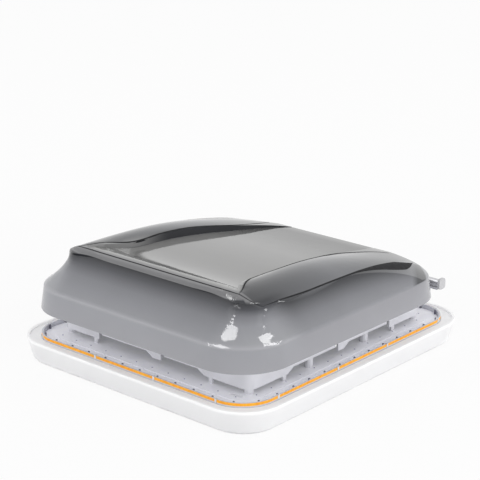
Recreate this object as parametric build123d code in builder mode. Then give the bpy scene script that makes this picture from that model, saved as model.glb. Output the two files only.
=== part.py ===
"""Caravan roof vent: a smoked double-glazed dome on a hinged bow, over a lit inner frame with two blinds.

The frame of the model: X runs across, -Y is the edge that opens, +Y the hinge, +Z up from the floor
that the inner frame stands on. All sizes are millimetres.
"""

import os

from build123d import *

os.makedirs("parts", exist_ok=True)

# Inner frame: the part seen from the cabin, with the lit rim around it
frame_width = 468.0
frame_length = 520.0
frame_height = 36.0
frame_corner = 62.0
rim_taper = 8.0
rim_wall = 2.5
rim_foot_bevel = 4.0
rim_crest_width = 4.5
rim_crest_rise = 2.6
rim_crest_bevel = 0.8
rim_foot_width = 20.0
seat_height = 31.5
seat_thick = 2.0
seat_overlap = 2.5
casing_floor = 2.5
casing_wall = 2.5
rib_thick = 2.0
rib_drop = 2.0

# Light opening and the walls around the blinds
opening_margin_x = 74.0
opening_margin_y = 95.0
opening_width = frame_width - 2 * opening_margin_x
opening_length = frame_length - 2 * opening_margin_y
opening_corner = 12.0
blind_wall_margin_x = 65.0
blind_wall_margin_y = 69.5
blind_wall_x = frame_width / 2 - blind_wall_margin_x
blind_wall_y = frame_length / 2 - blind_wall_margin_y

# Plate against the ceiling, in two low steps, and the light strip around it
strip_inset = 19.0
strip_corner = 52.0
strip_thick = 1.6
strip_height = 8.0
strip_gap = 0.3
carrier_thick = 1.2
plate_border = 1.5
plate_step_rise = 1.0
plate_step_width = 8.0
plate_steps = 2
clip_length = 3.4
clip_jaw = 0.6
front_clip_shares = (-0.299, 0.195, 0.688)
side_clip_shares = (-0.679, -0.180, 0.265)
arc_clip_angles = (12.0, 64.0)
slot_length = 23.0
slot_width = 6.0
slot_margin_x = 68.5
slot_margin_y = 54.0
slot_x = frame_width / 2 - slot_margin_x
slot_y = slot_margin_y - frame_length / 2

# Outer frame: neck, roof flange and upstand
neck_inset_x = 50.0
neck_inset_y = 61.0
neck_width = frame_width - 2 * neck_inset_x
neck_length = frame_length - 2 * neck_inset_y
neck_corner = 16.0
neck_wall = 3.0
neck_foot_z = 50.0
lug_drop = 7.3
front_lug_gap_shares = ((-0.576, -0.054), (0.101, 0.484))
side_lug_gap_shares = ((-0.032, -0.538), (0.588, 0.095))
lug_ramp = 12.0
notch_width = 6.6
notch_height = 7.0
foot_length = 7.0
foot_inset_x = 71.0
foot_inset_y = 73.0
foot_front_x = neck_width / 2 - foot_inset_x
foot_side_y = neck_length / 2 - foot_inset_y
roof_z = 76.0
flange_side_reach = 30.0
flange_front_reach = 37.0
flange_back_reach = 23.0
flange_width = neck_width + 2 * flange_side_reach
flange_front = neck_length / 2 + flange_front_reach
flange_back = neck_length / 2 + flange_back_reach
flange_corner = 66.0
flange_thick = 3.5
upstand_z = 96.0
tower_radius = 6.5
seal_width = 9.0
seal_height = 8.2
seal_lip = 4.0
seal_bevel = 2.6

# Clamp screws, from the inner frame up into the neck
screw_side_inset = 8.0
screw_corner_inset = 10.5
screw_side_x = neck_width / 2 - screw_side_inset
screw_side_y = 64.0
screw_corner_x = neck_width / 2 - screw_corner_inset
screw_corner_y = neck_length / 2 - screw_corner_inset
screw_radius = 2.0
screw_length = 64.0
screw_head_radius = 4.3
screw_head_height = 3.0
boss_radius = 6.0
counterbore_radius = 5.2
counterbore_depth = 6.0
cap_height = 2.0
screw_sides = 12

# Dome: outline at its lower edge, at its waist and at its top
dome_wall = 3.0
dome_edge_z = 80.0
dome_waist_z = 113.0
dome_top_z = 190.0
dome_side_reach = 9.6
dome_front_reach = 12.4
dome_back_set = 1.5
dome_half_width = flange_width / 2 + dome_side_reach
dome_front = flange_front + dome_front_reach
dome_back = flange_back - dome_back_set
dome_corner = 79.0
waist_lean = 4.5
top_lean_side = 57.0
top_lean_front = 62.0
top_lean_back = 34.0
waist_corner = 76.0
top_corner = 34.0

# Dome roof, at stations along its half length: heights as shares of the dome's rise for the ridge
# beside the middle panel, the crown of each wing and the edge over the flank
dome_rise = 106.0
dome_half_length = flange_back
roof_run_shares = (-1.20, -0.88, -0.60, -0.29, 0.02, 0.43, 0.79, 0.96, 1.10)
ridge_rise_shares = (0.930, 0.910, 0.816, 0.798, 0.769, 0.632, 0.475, 0.385, 0.270)
crown_rise_shares = (0.915, 0.900, 0.868, 0.848, 0.794, 0.640, 0.462, 0.350, 0.220)
arch_rise_shares = (0.680, 0.690, 0.725, 0.725, 0.700, 0.592, 0.430, 0.300, 0.170)
arch_half_shares = (0.840, 0.840, 0.832, 0.823, 0.812, 0.792, 0.770, 0.760, 0.750)
ridge_inset = 111.6
crown_inset = 79.6
ridge_inner_x = dome_half_width - ridge_inset
crown_x = dome_half_width - crown_inset
eave_drop = 20.0

# Middle panel, recessed between the wings: its floor and its half width
panel_run_shares = (-0.84, -0.55, -0.23, 0.00, 0.23, 0.46, 0.69, 0.92, 1.10)
panel_rise_shares = (0.905, 0.760, 0.710, 0.667, 0.610, 0.540, 0.475, 0.400, 0.290)
panel_half_shares = (0.68, 0.53, 0.52, 0.51, 0.49, 0.46, 0.43, 0.38, 0.35)

# Scooped flank under each roof edge, and the scooped front under the lip: their upper outlines
scoop_depth = 8.0
scoop_overhang = 5.0
scoop_corner = 10.0
scoop_low_z = 115.0
flank_high_z = 158.0
front_high_z = 168.0
lip_inset = 53.4
lip_y = lip_inset - dome_front
flank_run_shares = (-0.93, -0.78, -0.54, -0.18, 0.05, 0.27, 0.45, 0.60, 0.71)
flank_rise_shares = (0.570, 0.655, 0.700, 0.700, 0.680, 0.645, 0.585, 0.510, 0.430)
front_half_shares = (0.00, 0.33, 0.60, 0.72, 0.80, 0.87)
front_rise_shares = (0.830, 0.830, 0.828, 0.775, 0.690, 0.560)

# Inner pane of the dome
pane_gap = 0.3
pane_thick = 3.0
pane_crown_rise = 12.0
pane_crown_lean = 14.0
pane_crown_corner = 60.0
pane_low_z = 104.5
pane_crown_inset_x = 85.6
pane_crown_inset_front = 58.4
pane_crown_inset_back = 100.5
pane_crown_half_width = dome_half_width - pane_crown_inset_x
pane_crown_front = dome_front - pane_crown_inset_front
pane_crown_back = dome_back - pane_crown_inset_back

# Hinge along the back edge
hinge_set = 10.0
hinge_y = dome_back + hinge_set
hinge_z = 84.0
hinge_end_inset = 27.6
hinge_half = dome_half_width - hinge_end_inset
knuckle_radius = 6.2
hinge_pin_radius = 2.5
running_gap = 0.05
side_gap = 0.6
middle_knuckle_half = 30.0
outer_knuckle_length = 46.0
outer_knuckle_start = hinge_half - outer_knuckle_length
rail_back_reach = 7.5
rail_back = hinge_y + rail_back_reach
leaf_top_z = 104.0
leaf_thick = 3.0
leaf_gap = 0.3
hinge_cap_length = 4.0
hinge_cap_top_z = 93.0
hinge_cap_round = 5.0

# Bow lever: its arms are as long as the way from the hinge to their pivots on the dome
bow_arm_margin = 14.0
bow_arm_reach = neck_length / 2 - bow_arm_margin
bow_handle_reach = 24.0
bow_arm_inset = 18.5
bow_arm_x = neck_width / 2 - bow_arm_inset
bow_arm_thick = 5.0
bow_arm_height = 14.0
bow_bar_radius = 5.0
bow_grip_radius = 6.0
bow_grip_length = 150.0
bow_pin_radius = 3.0
bow_bracket_set = 15.5
bow_bracket_inner_x = bow_arm_x - bow_bracket_set
bow_bracket_gap = 0.5
bow_bracket_length = 26.0
bow_bracket_drop = 7.0
bow_bracket_web = 3.0
bow_bracket_foot = 2.0
guide_arm_space = 6.0
guide_inner_x = bow_arm_x + guide_arm_space
guide_height = 14.0
guide_slot_depth = 7.0
guide_slack = 0.1
guide_front_run = 10.0
guide_back_run = 2.5
guide_back_y = hinge_y - bow_arm_reach + guide_back_run
pin_end_gap = 0.5

# Turn catches on the front wall of the neck
catch_inset_x = 94.0
catch_x = neck_width / 2 - catch_inset_x
catch_z = 62.0
catch_boss_radius = 8.0
catch_boss_inset_y = 21.0
catch_boss_front_y = catch_boss_inset_y - neck_length / 2
catch_shaft_radius = 4.0
catch_disc_radius = 9.5
catch_disc_thick = 7.0
catch_finger_length = 16.4
catch_finger_width = 8.0
catch_tab_length = 20.0
catch_lever_thick = 6.5
catch_gap = 0.3

# Blinds: two bars on two levels, each with a pleated cloth behind it
blind_low_z = 4.8
blind_high_z = 18.8
blind_bar_height = 10.4
blind_bar_width = 12.0
blind_bar_inset = 10.0
blind_shoe_inset = 2.6
blind_bar_half = blind_wall_x - blind_bar_inset
blind_shoe_half = blind_wall_x - blind_shoe_inset
blind_shoe_width = 8.0
blind_park_inset = 18.5
blind_park_y = blind_wall_y - blind_park_inset
blind_pull_half = 32.0
blind_pull_reach = 4.0
blind_pull_height = 3.0
blind_rail_inset = 11.0
blind_rail_reach = blind_wall_y - blind_rail_inset
blind_rail_web = 2.2
blind_rail_gap = 0.4
cassette_wall = 1.2
cassette_inset = 10.2
cassette_half = blind_wall_x - cassette_inset
pleat_count = 14
pleat_pitch = 0.62
pleat_thick = 0.24
pleat_height = 9.0
pleat_inset = 11.5
pleat_half = blind_wall_x - pleat_inset
pleat_gap = 0.3

# Overrun of a cutting shape past what it cuts
over = 4.0


def ring_sizes(width, length, corner, inset):
    """Width, length and corner radius of a rounded outline, drawn in by an inset."""
    return width - 2 * inset, length - 2 * inset, corner - inset


# Lit rim of the inner frame: a translucent gutter with a raised crest along its outer edge
clip_thick = strip_thick + carrier_thick + 2 * clip_jaw
rim_band_edge = strip_inset - strip_thick / 2 - clip_jaw - 2 * strip_gap
rim_heights = (0, rim_foot_bevel, frame_height - rim_crest_bevel, frame_height)
rim_insets = (rim_taper + rim_foot_bevel, rim_taper, 0, rim_crest_bevel)
rim_outlines = []
for rim_height, rim_inset in zip(rim_heights, rim_insets):
    with BuildSketch(Plane.XY.offset(rim_height)) as rim_outline:
        RectangleRounded(*ring_sizes(frame_width, frame_length, frame_corner, rim_inset))
    rim_outlines.append(rim_outline.sketch)
with BuildPart() as light_diffuser:
    for lower, upper in zip(rim_outlines, rim_outlines[1:]):
        loft(sections=[lower, upper], ruled=True)
    with BuildSketch(Plane.XY.offset(rim_wall)):
        RectangleRounded(*ring_sizes(frame_width, frame_length, frame_corner, rim_taper + rim_wall))
    with BuildSketch(Plane.XY.offset(seat_height)):
        RectangleRounded(*ring_sizes(frame_width, frame_length, frame_corner, rim_wall))
    loft(ruled=True, mode=Mode.SUBTRACT)
    with BuildSketch(Plane.XY.offset(frame_height - rim_crest_rise)):
        RectangleRounded(*ring_sizes(frame_width, frame_length, frame_corner, rim_crest_width))
    extrude(amount=over, mode=Mode.SUBTRACT)
    with BuildSketch(Plane.XY.offset(seat_height)):
        RectangleRounded(
            frame_width - 2 * rim_band_edge,
            frame_length - 2 * rim_band_edge,
            strip_corner + strip_inset - rim_band_edge,
        )
    extrude(amount=frame_height, mode=Mode.SUBTRACT)
    with BuildSketch():
        RectangleRounded(
            *ring_sizes(frame_width, frame_length, frame_corner, rim_taper + rim_foot_width)
        )
    extrude(amount=rim_wall + over, mode=Mode.SUBTRACT)
light_diffuser.part.label = "light_diffuser"
export_step(light_diffuser.part, "parts/light_diffuser.step")

# Casing of the inner frame: floor with the light opening, outer wall with a seat for the plate,
# and inner walls that carry the blinds
casing_inset = rim_taper + rim_foot_width
screw_places = [
    (sx * x, sy * y)
    for x, y in ((screw_corner_x, screw_corner_y), (screw_side_x, screw_side_y))
    for sx in (-1, 1)
    for sy in (-1, 1)
]
seat_inset = rim_band_edge - seat_overlap
with BuildPart() as inner_frame:
    with BuildSketch():
        RectangleRounded(*ring_sizes(frame_width, frame_length, frame_corner, casing_inset))
    extrude(amount=seat_height)
    with BuildSketch(Plane.XY.offset(casing_floor)):
        RectangleRounded(
            *ring_sizes(frame_width, frame_length, frame_corner, casing_inset + casing_wall)
        )
    extrude(amount=seat_height, mode=Mode.SUBTRACT)
    with BuildSketch(Plane.XY.offset(seat_height - seat_thick)):
        RectangleRounded(*ring_sizes(frame_width, frame_length, frame_corner, seat_inset))
        RectangleRounded(
            *ring_sizes(frame_width, frame_length, frame_corner, casing_inset + casing_wall),
            mode=Mode.SUBTRACT,
        )
    extrude(amount=seat_thick)
    with BuildSketch(Plane.XY.offset(casing_floor)):
        Rectangle(2 * (blind_wall_x + casing_wall), 2 * (blind_wall_y + casing_wall))
        Rectangle(2 * blind_wall_x, 2 * blind_wall_y, mode=Mode.SUBTRACT)
    extrude(amount=seat_height - casing_floor)
    # Ribs between the inner and the outer walls
    rib_height = seat_height - rib_drop - casing_floor
    side_gap_width = frame_width / 2 - casing_inset - blind_wall_x - casing_wall
    end_gap_width = frame_length / 2 - casing_inset - blind_wall_y - casing_wall
    with BuildSketch(Plane.XY.offset(casing_floor)):
        side_rib_x = blind_wall_x + casing_wall + side_gap_width / 2
        end_rib_y = blind_wall_y + casing_wall + end_gap_width / 2
        with GridLocations(2 * side_rib_x, screw_side_y * 2, 2, 3):
            Rectangle(side_gap_width, rib_thick)
        with GridLocations(screw_side_y * 2, 2 * end_rib_y, 3, 2):
            Rectangle(rib_thick, end_gap_width)
    extrude(amount=rib_height)
    with BuildSketch(Plane.XY.offset(casing_floor)):
        with Locations(*screw_places):
            RegularPolygon(boss_radius, screw_sides)
    extrude(amount=seat_height - casing_floor)
    with BuildSketch():
        RectangleRounded(opening_width, opening_length, opening_corner)
    extrude(amount=casing_floor + over, mode=Mode.SUBTRACT)
    for bore_radius, bore_depth in (
        (screw_radius + 2 * running_gap, seat_height),
        (counterbore_radius, counterbore_depth),
    ):
        with BuildSketch():
            with Locations(*screw_places):
                RegularPolygon(bore_radius, screw_sides)
        extrude(amount=bore_depth, mode=Mode.SUBTRACT)
inner_frame.part.label = "inner_frame"
export_step(inner_frame.part, "parts/inner_frame.step")

# Plate against the ceiling
plate_inset = strip_inset + strip_thick / 2 + carrier_thick + clip_jaw + 2 * strip_gap
plate_corner = strip_corner + strip_inset - plate_inset
plate_top_z = seat_height + plate_border + plate_steps * plate_step_rise
with BuildPart() as ceiling_plate:
    with BuildSketch(Plane.XY.offset(seat_height)):
        RectangleRounded(
            frame_width - 2 * plate_inset, frame_length - 2 * plate_inset, plate_corner
        )
    extrude(amount=plate_border)
    for step in range(plate_steps):
        step_inset = (step + 1) * plate_step_width
        with BuildSketch(Plane.XY.offset(seat_height + plate_border + step * plate_step_rise)):
            RectangleRounded(
                frame_width - 2 * (plate_inset + step_inset),
                frame_length - 2 * (plate_inset + step_inset),
                plate_corner - step_inset,
            )
        extrude(amount=plate_step_rise)
    with BuildSketch(Plane.XY.offset(seat_height)):
        RectangleRounded(opening_width, opening_length, opening_corner)
        with Locations(*screw_places):
            RegularPolygon(screw_radius + 2 * running_gap, screw_sides)
        with Locations((slot_x, slot_y)):
            SlotOverall(slot_length, slot_width)
    extrude(amount=plate_top_z - seat_height, mode=Mode.SUBTRACT)
ceiling_plate.part.label = "ceiling_plate"
export_step(ceiling_plate.part, "parts/ceiling_plate.step")

# Light strip standing on edge in the gutter, its carrier behind it, and the clips that hold both
strip_outer = strip_inset - strip_thick / 2
strip_back = strip_inset + strip_thick / 2
carrier_back = strip_back + carrier_thick
strip_side_x = frame_width / 2 - strip_inset
strip_side_y = frame_length / 2 - strip_inset
clip_shift = (clip_thick - strip_thick) / 2 - clip_jaw
clip_line_x = strip_side_x - clip_shift
clip_line_y = strip_side_y - clip_shift
arc_centre_x = strip_side_x - strip_corner
arc_centre_y = strip_side_y - strip_corner
arc_line = strip_corner - clip_shift
clip_planes = []
for turn in (0, 180):
    half_turn = Location((0, 0, 0), (0, 0, turn))
    for x in [share * frame_width / 2 for share in front_clip_shares]:
        clip_planes.append(half_turn * Location((x, -clip_line_y, seat_height)))
    for y in [share * frame_length / 2 for share in side_clip_shares]:
        clip_planes.append(half_turn * Location((clip_line_x, y, seat_height), (0, 0, 90)))
    for angle in arc_clip_angles:
        arc_middle = half_turn * Location((arc_centre_x, arc_centre_y, seat_height), (0, 0, angle))
        clip_planes.append(arc_middle * Location((arc_line, 0, 0), (0, 0, 90)))


def strip_ring(outer_inset, inner_inset):
    """Sketch ring between two insets from the frame's outline, with the strip's own corners."""
    RectangleRounded(
        frame_width - 2 * outer_inset,
        frame_length - 2 * outer_inset,
        strip_corner + strip_inset - outer_inset,
    )
    RectangleRounded(
        frame_width - 2 * inner_inset,
        frame_length - 2 * inner_inset,
        strip_corner + strip_inset - inner_inset,
        mode=Mode.SUBTRACT,
    )


with BuildPart() as led_strip:
    with BuildSketch(Plane.XY.offset(seat_height)):
        strip_ring(strip_outer, strip_back)
    extrude(amount=strip_height)
    with Locations(*clip_planes):
        Box(
            clip_length,
            clip_thick + 2 * strip_gap,
            strip_height,
            align=(Align.CENTER, Align.CENTER, Align.MIN),
            mode=Mode.SUBTRACT,
        )
led_strip.part.label = "led_strip"
export_step(led_strip.part, "parts/led_strip.step")

with BuildPart() as strip_carrier:
    with BuildSketch(Plane.XY.offset(seat_height)):
        strip_ring(strip_back, carrier_back)
    extrude(amount=strip_height)
strip_carrier.part.label = "strip_carrier"
export_step(strip_carrier.part, "parts/strip_carrier.step")

clip_slit = carrier_thick + 2 * strip_gap
clip_slit_y = clip_thick / 2 - clip_jaw - carrier_thick / 2
with BuildPart() as strip_clips:
    with Locations(*clip_planes):
        Box(
            clip_length - 2 * strip_gap,
            clip_thick,
            strip_height + clip_jaw,
            align=(Align.CENTER, Align.CENTER, Align.MIN),
        )
    with Locations(*[place * Location((0, clip_slit_y, 0)) for place in clip_planes]):
        Box(
            clip_length,
            clip_slit,
            strip_height,
            align=(Align.CENTER, Align.CENTER, Align.MIN),
            mode=Mode.SUBTRACT,
        )
strip_clips.part.label = "strip_clips"
export_step(strip_clips.part, "parts/strip_clips.step")

# Clamp screws and their caps
with BuildPart() as clamp_screws:
    head_z = cap_height + running_gap
    with BuildSketch(Plane.XY.offset(head_z)):
        with Locations(*screw_places):
            RegularPolygon(screw_head_radius, screw_sides)
    extrude(amount=screw_head_height)
    with BuildSketch(Plane.XY.offset(head_z + screw_head_height)):
        with Locations(*screw_places):
            RegularPolygon(screw_radius, screw_sides)
    extrude(amount=screw_length)
clamp_screws.part.label = "clamp_screws"
export_step(clamp_screws.part, "parts/clamp_screws.step")

with BuildPart() as screw_caps:
    with BuildSketch():
        with Locations(*screw_places):
            RegularPolygon(counterbore_radius - running_gap, screw_sides)
    extrude(amount=cap_height)
screw_caps.part.label = "screw_caps"
export_step(screw_caps.part, "parts/screw_caps.step")

# Blind rails: one on each side, with a channel for each of the two blinds
rail_x = opening_width / 2
channel_x = blind_wall_x - blind_rail_web
channel_floors = (blind_low_z - blind_rail_gap, blind_high_z - blind_rail_gap)
channel_height = blind_bar_height + 2 * blind_rail_gap
for side, side_name in ((-1, "left"), (1, "right")):
    with BuildPart() as blind_rail:
        with BuildSketch(Plane.XZ):
            with BuildLine():
                Polyline(
                    (side * rail_x, casing_floor),
                    (side * blind_wall_x, casing_floor),
                    (side * blind_wall_x, seat_height),
                    (side * rail_x, seat_height),
                    close=True,
                )
            make_face()
            for floor_z in channel_floors:
                with Locations((side * (rail_x + channel_x) / 2, floor_z + channel_height / 2)):
                    Rectangle(channel_x - rail_x, channel_height, mode=Mode.SUBTRACT)
        extrude(amount=blind_rail_reach, both=True)
    blind_rail.part.label = f"blind_rail_{side_name}"
    export_step(blind_rail.part, f"parts/blind_rail_{side_name}.step")

# Blind bars, with a pull on the opening side, and the trays that the pleats fold into
for blind_name, end, bar_z in (("flyscreen", -1, blind_low_z), ("blackout", 1, blind_high_z)):
    with BuildPart() as blind_bar:
        with BuildSketch(Plane.YZ):
            with Locations((end * blind_park_y, bar_z + blind_bar_height / 2)):
                RectangleRounded(blind_bar_width, blind_bar_height, blind_bar_width / 6)
        extrude(amount=blind_bar_half, both=True)
        with BuildSketch(Plane.YZ):
            with Locations((end * blind_park_y, bar_z + blind_bar_height / 2)):
                Rectangle(blind_shoe_width, blind_bar_height)
        extrude(amount=blind_shoe_half, both=True)
        pull_y = end * (blind_park_y - blind_bar_width / 2 - blind_pull_reach / 2)
        with BuildSketch(Plane.XY.offset(bar_z)):
            with Locations((0, pull_y + end * blind_pull_reach / 2)):
                RectangleRounded(2 * blind_pull_half, 2 * blind_pull_reach, blind_pull_reach / 2)
        extrude(amount=blind_pull_height)
    blind_bar.part.label = f"{blind_name}_bar"
    export_step(blind_bar.part, f"parts/{blind_name}_bar.step")

    tray_low = bar_z - blind_rail_gap - cassette_wall
    tray_high = bar_z + blind_bar_height + blind_rail_gap + cassette_wall
    tray_front = blind_park_y - blind_bar_width / 2
    with BuildPart() as cassette:
        with BuildSketch(Plane.YZ):
            with BuildLine():
                Polyline(
                    (end * tray_front, tray_low),
                    (end * blind_wall_y, tray_low),
                    (end * blind_wall_y, tray_high),
                    (end * tray_front, tray_high),
                    (end * tray_front, tray_high - cassette_wall),
                    (end * (blind_wall_y - cassette_wall), tray_high - cassette_wall),
                    (end * (blind_wall_y - cassette_wall), tray_low + cassette_wall),
                    (end * tray_front, tray_low + cassette_wall),
                    close=True,
                )
            make_face()
        extrude(amount=cassette_half, both=True)
    cassette.part.label = f"{blind_name}_cassette"
    export_step(cassette.part, f"parts/{blind_name}_cassette.step")

    # Folded pleats: a zigzag of slanted leaves, seen from their ends
    pleat_start = end * (blind_park_y + blind_bar_width / 2 + pleat_gap)
    pleat_low = bar_z + (blind_bar_height - pleat_height) / 2
    pleat_step = end * pleat_pitch / 2
    with BuildPart() as pleats:
        with BuildSketch(Plane.YZ):
            for fold in range(2 * pleat_count):
                near_y = pleat_start + fold * pleat_step
                near_z = pleat_low + (fold % 2) * pleat_height
                far_z = pleat_low + ((fold + 1) % 2) * pleat_height
                with BuildLine():
                    Polyline(
                        (near_y, near_z),
                        (near_y + end * pleat_thick, near_z),
                        (near_y + pleat_step + end * pleat_thick, far_z),
                        (near_y + pleat_step, far_z),
                        close=True,
                    )
                make_face()
        extrude(amount=pleat_half, both=True)
    pleats.part.label = f"{blind_name}_pleats"
    export_step(pleats.part, f"parts/{blind_name}_pleats.step")

# Outer frame: neck with its lugs, roof flange, upstand, screw towers and catch bosses
flange_middle_y = (flange_back - flange_front) / 2
neck_inner_x = neck_width / 2 - neck_wall
neck_inner_y = neck_length / 2 - neck_wall
lug_z = neck_foot_z - lug_drop
with BuildPart() as outer_frame:
    with BuildSketch(Plane.XY.offset(lug_z)):
        RectangleRounded(neck_width, neck_length, neck_corner)
        RectangleRounded(
            *ring_sizes(neck_width, neck_length, neck_corner, neck_wall), mode=Mode.SUBTRACT
        )
    extrude(amount=upstand_z - lug_z)
    # Gaps between the lugs, each from a sheer end beside a notch to the top of a ramp
    for gap_plane, gap_shares, half_span, reach in (
        (Plane.XZ, front_lug_gap_shares, neck_width / 2, neck_length),
        (Plane.YZ, side_lug_gap_shares, neck_length / 2, neck_width),
    ):
        for sheer_share, ramp_share in gap_shares:
            sheer_end = sheer_share * half_span
            ramp_top = ramp_share * half_span
            onward = 1 if ramp_top > sheer_end else -1
            with BuildSketch(gap_plane):
                with BuildLine():
                    Polyline(
                        (sheer_end, lug_z - over),
                        (ramp_top + onward * lug_ramp, lug_z - over),
                        (ramp_top + onward * lug_ramp, lug_z),
                        (ramp_top, neck_foot_z),
                        (sheer_end, neck_foot_z),
                        close=True,
                    )
                make_face()
                with Locations((sheer_end + onward * notch_width / 2, neck_foot_z)):
                    Rectangle(notch_width, 2 * notch_height)
            extrude(amount=reach, both=True, mode=Mode.SUBTRACT)
    # Feet that stand on the plate
    with BuildSketch(Plane.XY.offset(plate_top_z)):
        with GridLocations(2 * foot_front_x, neck_length - neck_wall, 2, 2):
            Rectangle(foot_length, neck_wall)
        with GridLocations(neck_width - neck_wall, 2 * foot_side_y, 2, 2):
            Rectangle(neck_wall, foot_length)
    extrude(amount=neck_foot_z + notch_height - plate_top_z)
    # Roof flange
    with BuildSketch(Plane.XY.offset(roof_z)):
        with Locations((0, flange_middle_y)):
            RectangleRounded(flange_width, flange_front + flange_back, flange_corner)
        RectangleRounded(
            *ring_sizes(neck_width, neck_length, neck_corner, neck_wall), mode=Mode.SUBTRACT
        )
    extrude(amount=flange_thick)
    # Screw towers
    with BuildSketch(Plane.XY.offset(plate_top_z)):
        with Locations(*screw_places):
            RegularPolygon(tower_radius, screw_sides)
    extrude(amount=roof_z - plate_top_z)
    # Bosses of the turn catches
    for side in (-1, 1):
        with BuildSketch(Plane.XZ.offset(neck_inner_y)):
            with Locations((side * catch_x, catch_z)):
                Circle(catch_boss_radius)
        extrude(amount=catch_boss_front_y + neck_inner_y, dir=(0, 1, 0))
    with BuildSketch(Plane.XY.offset(plate_top_z)):
        with Locations(*screw_places):
            RegularPolygon(screw_radius + 2 * running_gap, screw_sides)
    extrude(amount=roof_z - plate_top_z, mode=Mode.SUBTRACT)
    with BuildSketch(Plane.XZ.offset(neck_inner_y)):
        with Locations((-catch_x, catch_z), (catch_x, catch_z)):
            Circle(catch_shaft_radius + running_gap)
    extrude(amount=catch_boss_front_y + neck_inner_y + over, dir=(0, 1, 0), mode=Mode.SUBTRACT)
outer_frame.part.label = "outer_frame"
export_step(outer_frame.part, "parts/outer_frame.step")

# Hollow seal seated over the upstand
with BuildPart() as upstand_seal:
    seal_side = (seal_width - neck_wall) / 2
    seal_low = upstand_z - seal_lip
    with BuildSketch(Plane.XY.offset(seal_low)):
        RectangleRounded(*ring_sizes(neck_width, neck_length, neck_corner, -seal_side))
        RectangleRounded(
            *ring_sizes(neck_width, neck_length, neck_corner, neck_wall + seal_side),
            mode=Mode.SUBTRACT,
        )
    extrude(amount=seal_lip + seal_height)
    top_face = upstand_seal.faces().sort_by(Axis.Z)[-1]
    chamfer(top_face.edges(), seal_bevel)
    with BuildSketch(Plane.XY.offset(seal_low)):
        RectangleRounded(*ring_sizes(neck_width, neck_length, neck_corner, -running_gap))
        RectangleRounded(
            *ring_sizes(neck_width, neck_length, neck_corner, neck_wall + running_gap),
            mode=Mode.SUBTRACT,
        )
    extrude(amount=seal_lip, mode=Mode.SUBTRACT)
upstand_seal.part.label = "upstand_seal"
export_step(upstand_seal.part, "parts/upstand_seal.step")


def dome_z(share):
    """Height of a share of the dome's rise."""
    return dome_edge_z + share * dome_rise


def dome_outline(height, lean_side, lean_front, lean_back, corner, skin):
    """Sketch of the dome's outline at a height, leaning in by its own amounts and by a skin."""
    with BuildSketch(Plane.XY.offset(height)) as outline:
        with Locations((0, (dome_back - lean_back - dome_front + lean_front) / 2)):
            RectangleRounded(
                2 * (dome_half_width - lean_side - skin),
                dome_front + dome_back - lean_front - lean_back - 2 * skin,
                corner - skin,
            )
    return outline.sketch


def roof_form(skin):
    """Everything under the roof: sections across the dome, one at each station along it."""
    sections = []
    stations = zip(
        roof_run_shares, ridge_rise_shares, crown_rise_shares, arch_rise_shares, arch_half_shares
    )
    for run, ridge, crown, arch, arch_half in stations:
        ridge_point = (ridge_inner_x, dome_z(ridge) - skin)
        crown_point = (crown_x, dome_z(crown) - skin)
        arch_point = (arch_half * dome_half_width - skin, dome_z(arch) - skin)
        eave_point = (dome_half_width + over, dome_z(arch) - eave_drop - skin)
        half_line = (ridge_point, crown_point, arch_point)
        across = Plane(origin=(0, run * dome_half_length, 0), x_dir=(1, 0, 0), z_dir=(0, -1, 0))
        with BuildSketch(across) as section:
            with BuildLine():
                Spline(*half_line)
                Spline(*[(-x, z) for x, z in half_line])
                Line((-ridge_point[0], ridge_point[1]), ridge_point)
                Polyline(
                    arch_point,
                    eave_point,
                    (eave_point[0], 0),
                    (-eave_point[0], 0),
                    (-eave_point[0], eave_point[1]),
                    (-arch_point[0], arch_point[1]),
                )
            make_face()
        sections.append(section.sketch)
    with BuildPart() as roof:
        loft(sections=sections)
    return roof.part


def panel_cutter(skin):
    """Space over the recessed middle panel, between the inner faces of the two wings."""
    side_points = [
        (half * dome_half_width + skin, run * dome_half_length)
        for half, run in zip(panel_half_shares, panel_run_shares)
    ]
    mirrored_points = [(-x, y) for x, y in side_points]
    floor_points = [
        (run * dome_half_length, dome_z(rise) - skin)
        for run, rise in zip(panel_run_shares, panel_rise_shares)
    ]
    with BuildPart() as cutter:
        with BuildSketch(Plane.XY.offset(dome_edge_z)):
            with BuildLine():
                Line(mirrored_points[0], side_points[0])
                Spline(*side_points)
                Line(side_points[-1], mirrored_points[-1])
                Spline(*mirrored_points)
            make_face()
        extrude(amount=2 * dome_rise)
        with BuildSketch(Plane.YZ):
            with BuildLine():
                Spline(*floor_points)
                Polyline(
                    floor_points[-1],
                    (floor_points[-1][0], dome_z(2)),
                    (floor_points[0][0], dome_z(2)),
                    floor_points[0],
                )
            make_face()
        extrude(amount=dome_half_width, both=True, mode=Mode.INTERSECT)
    return cutter.part


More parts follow.
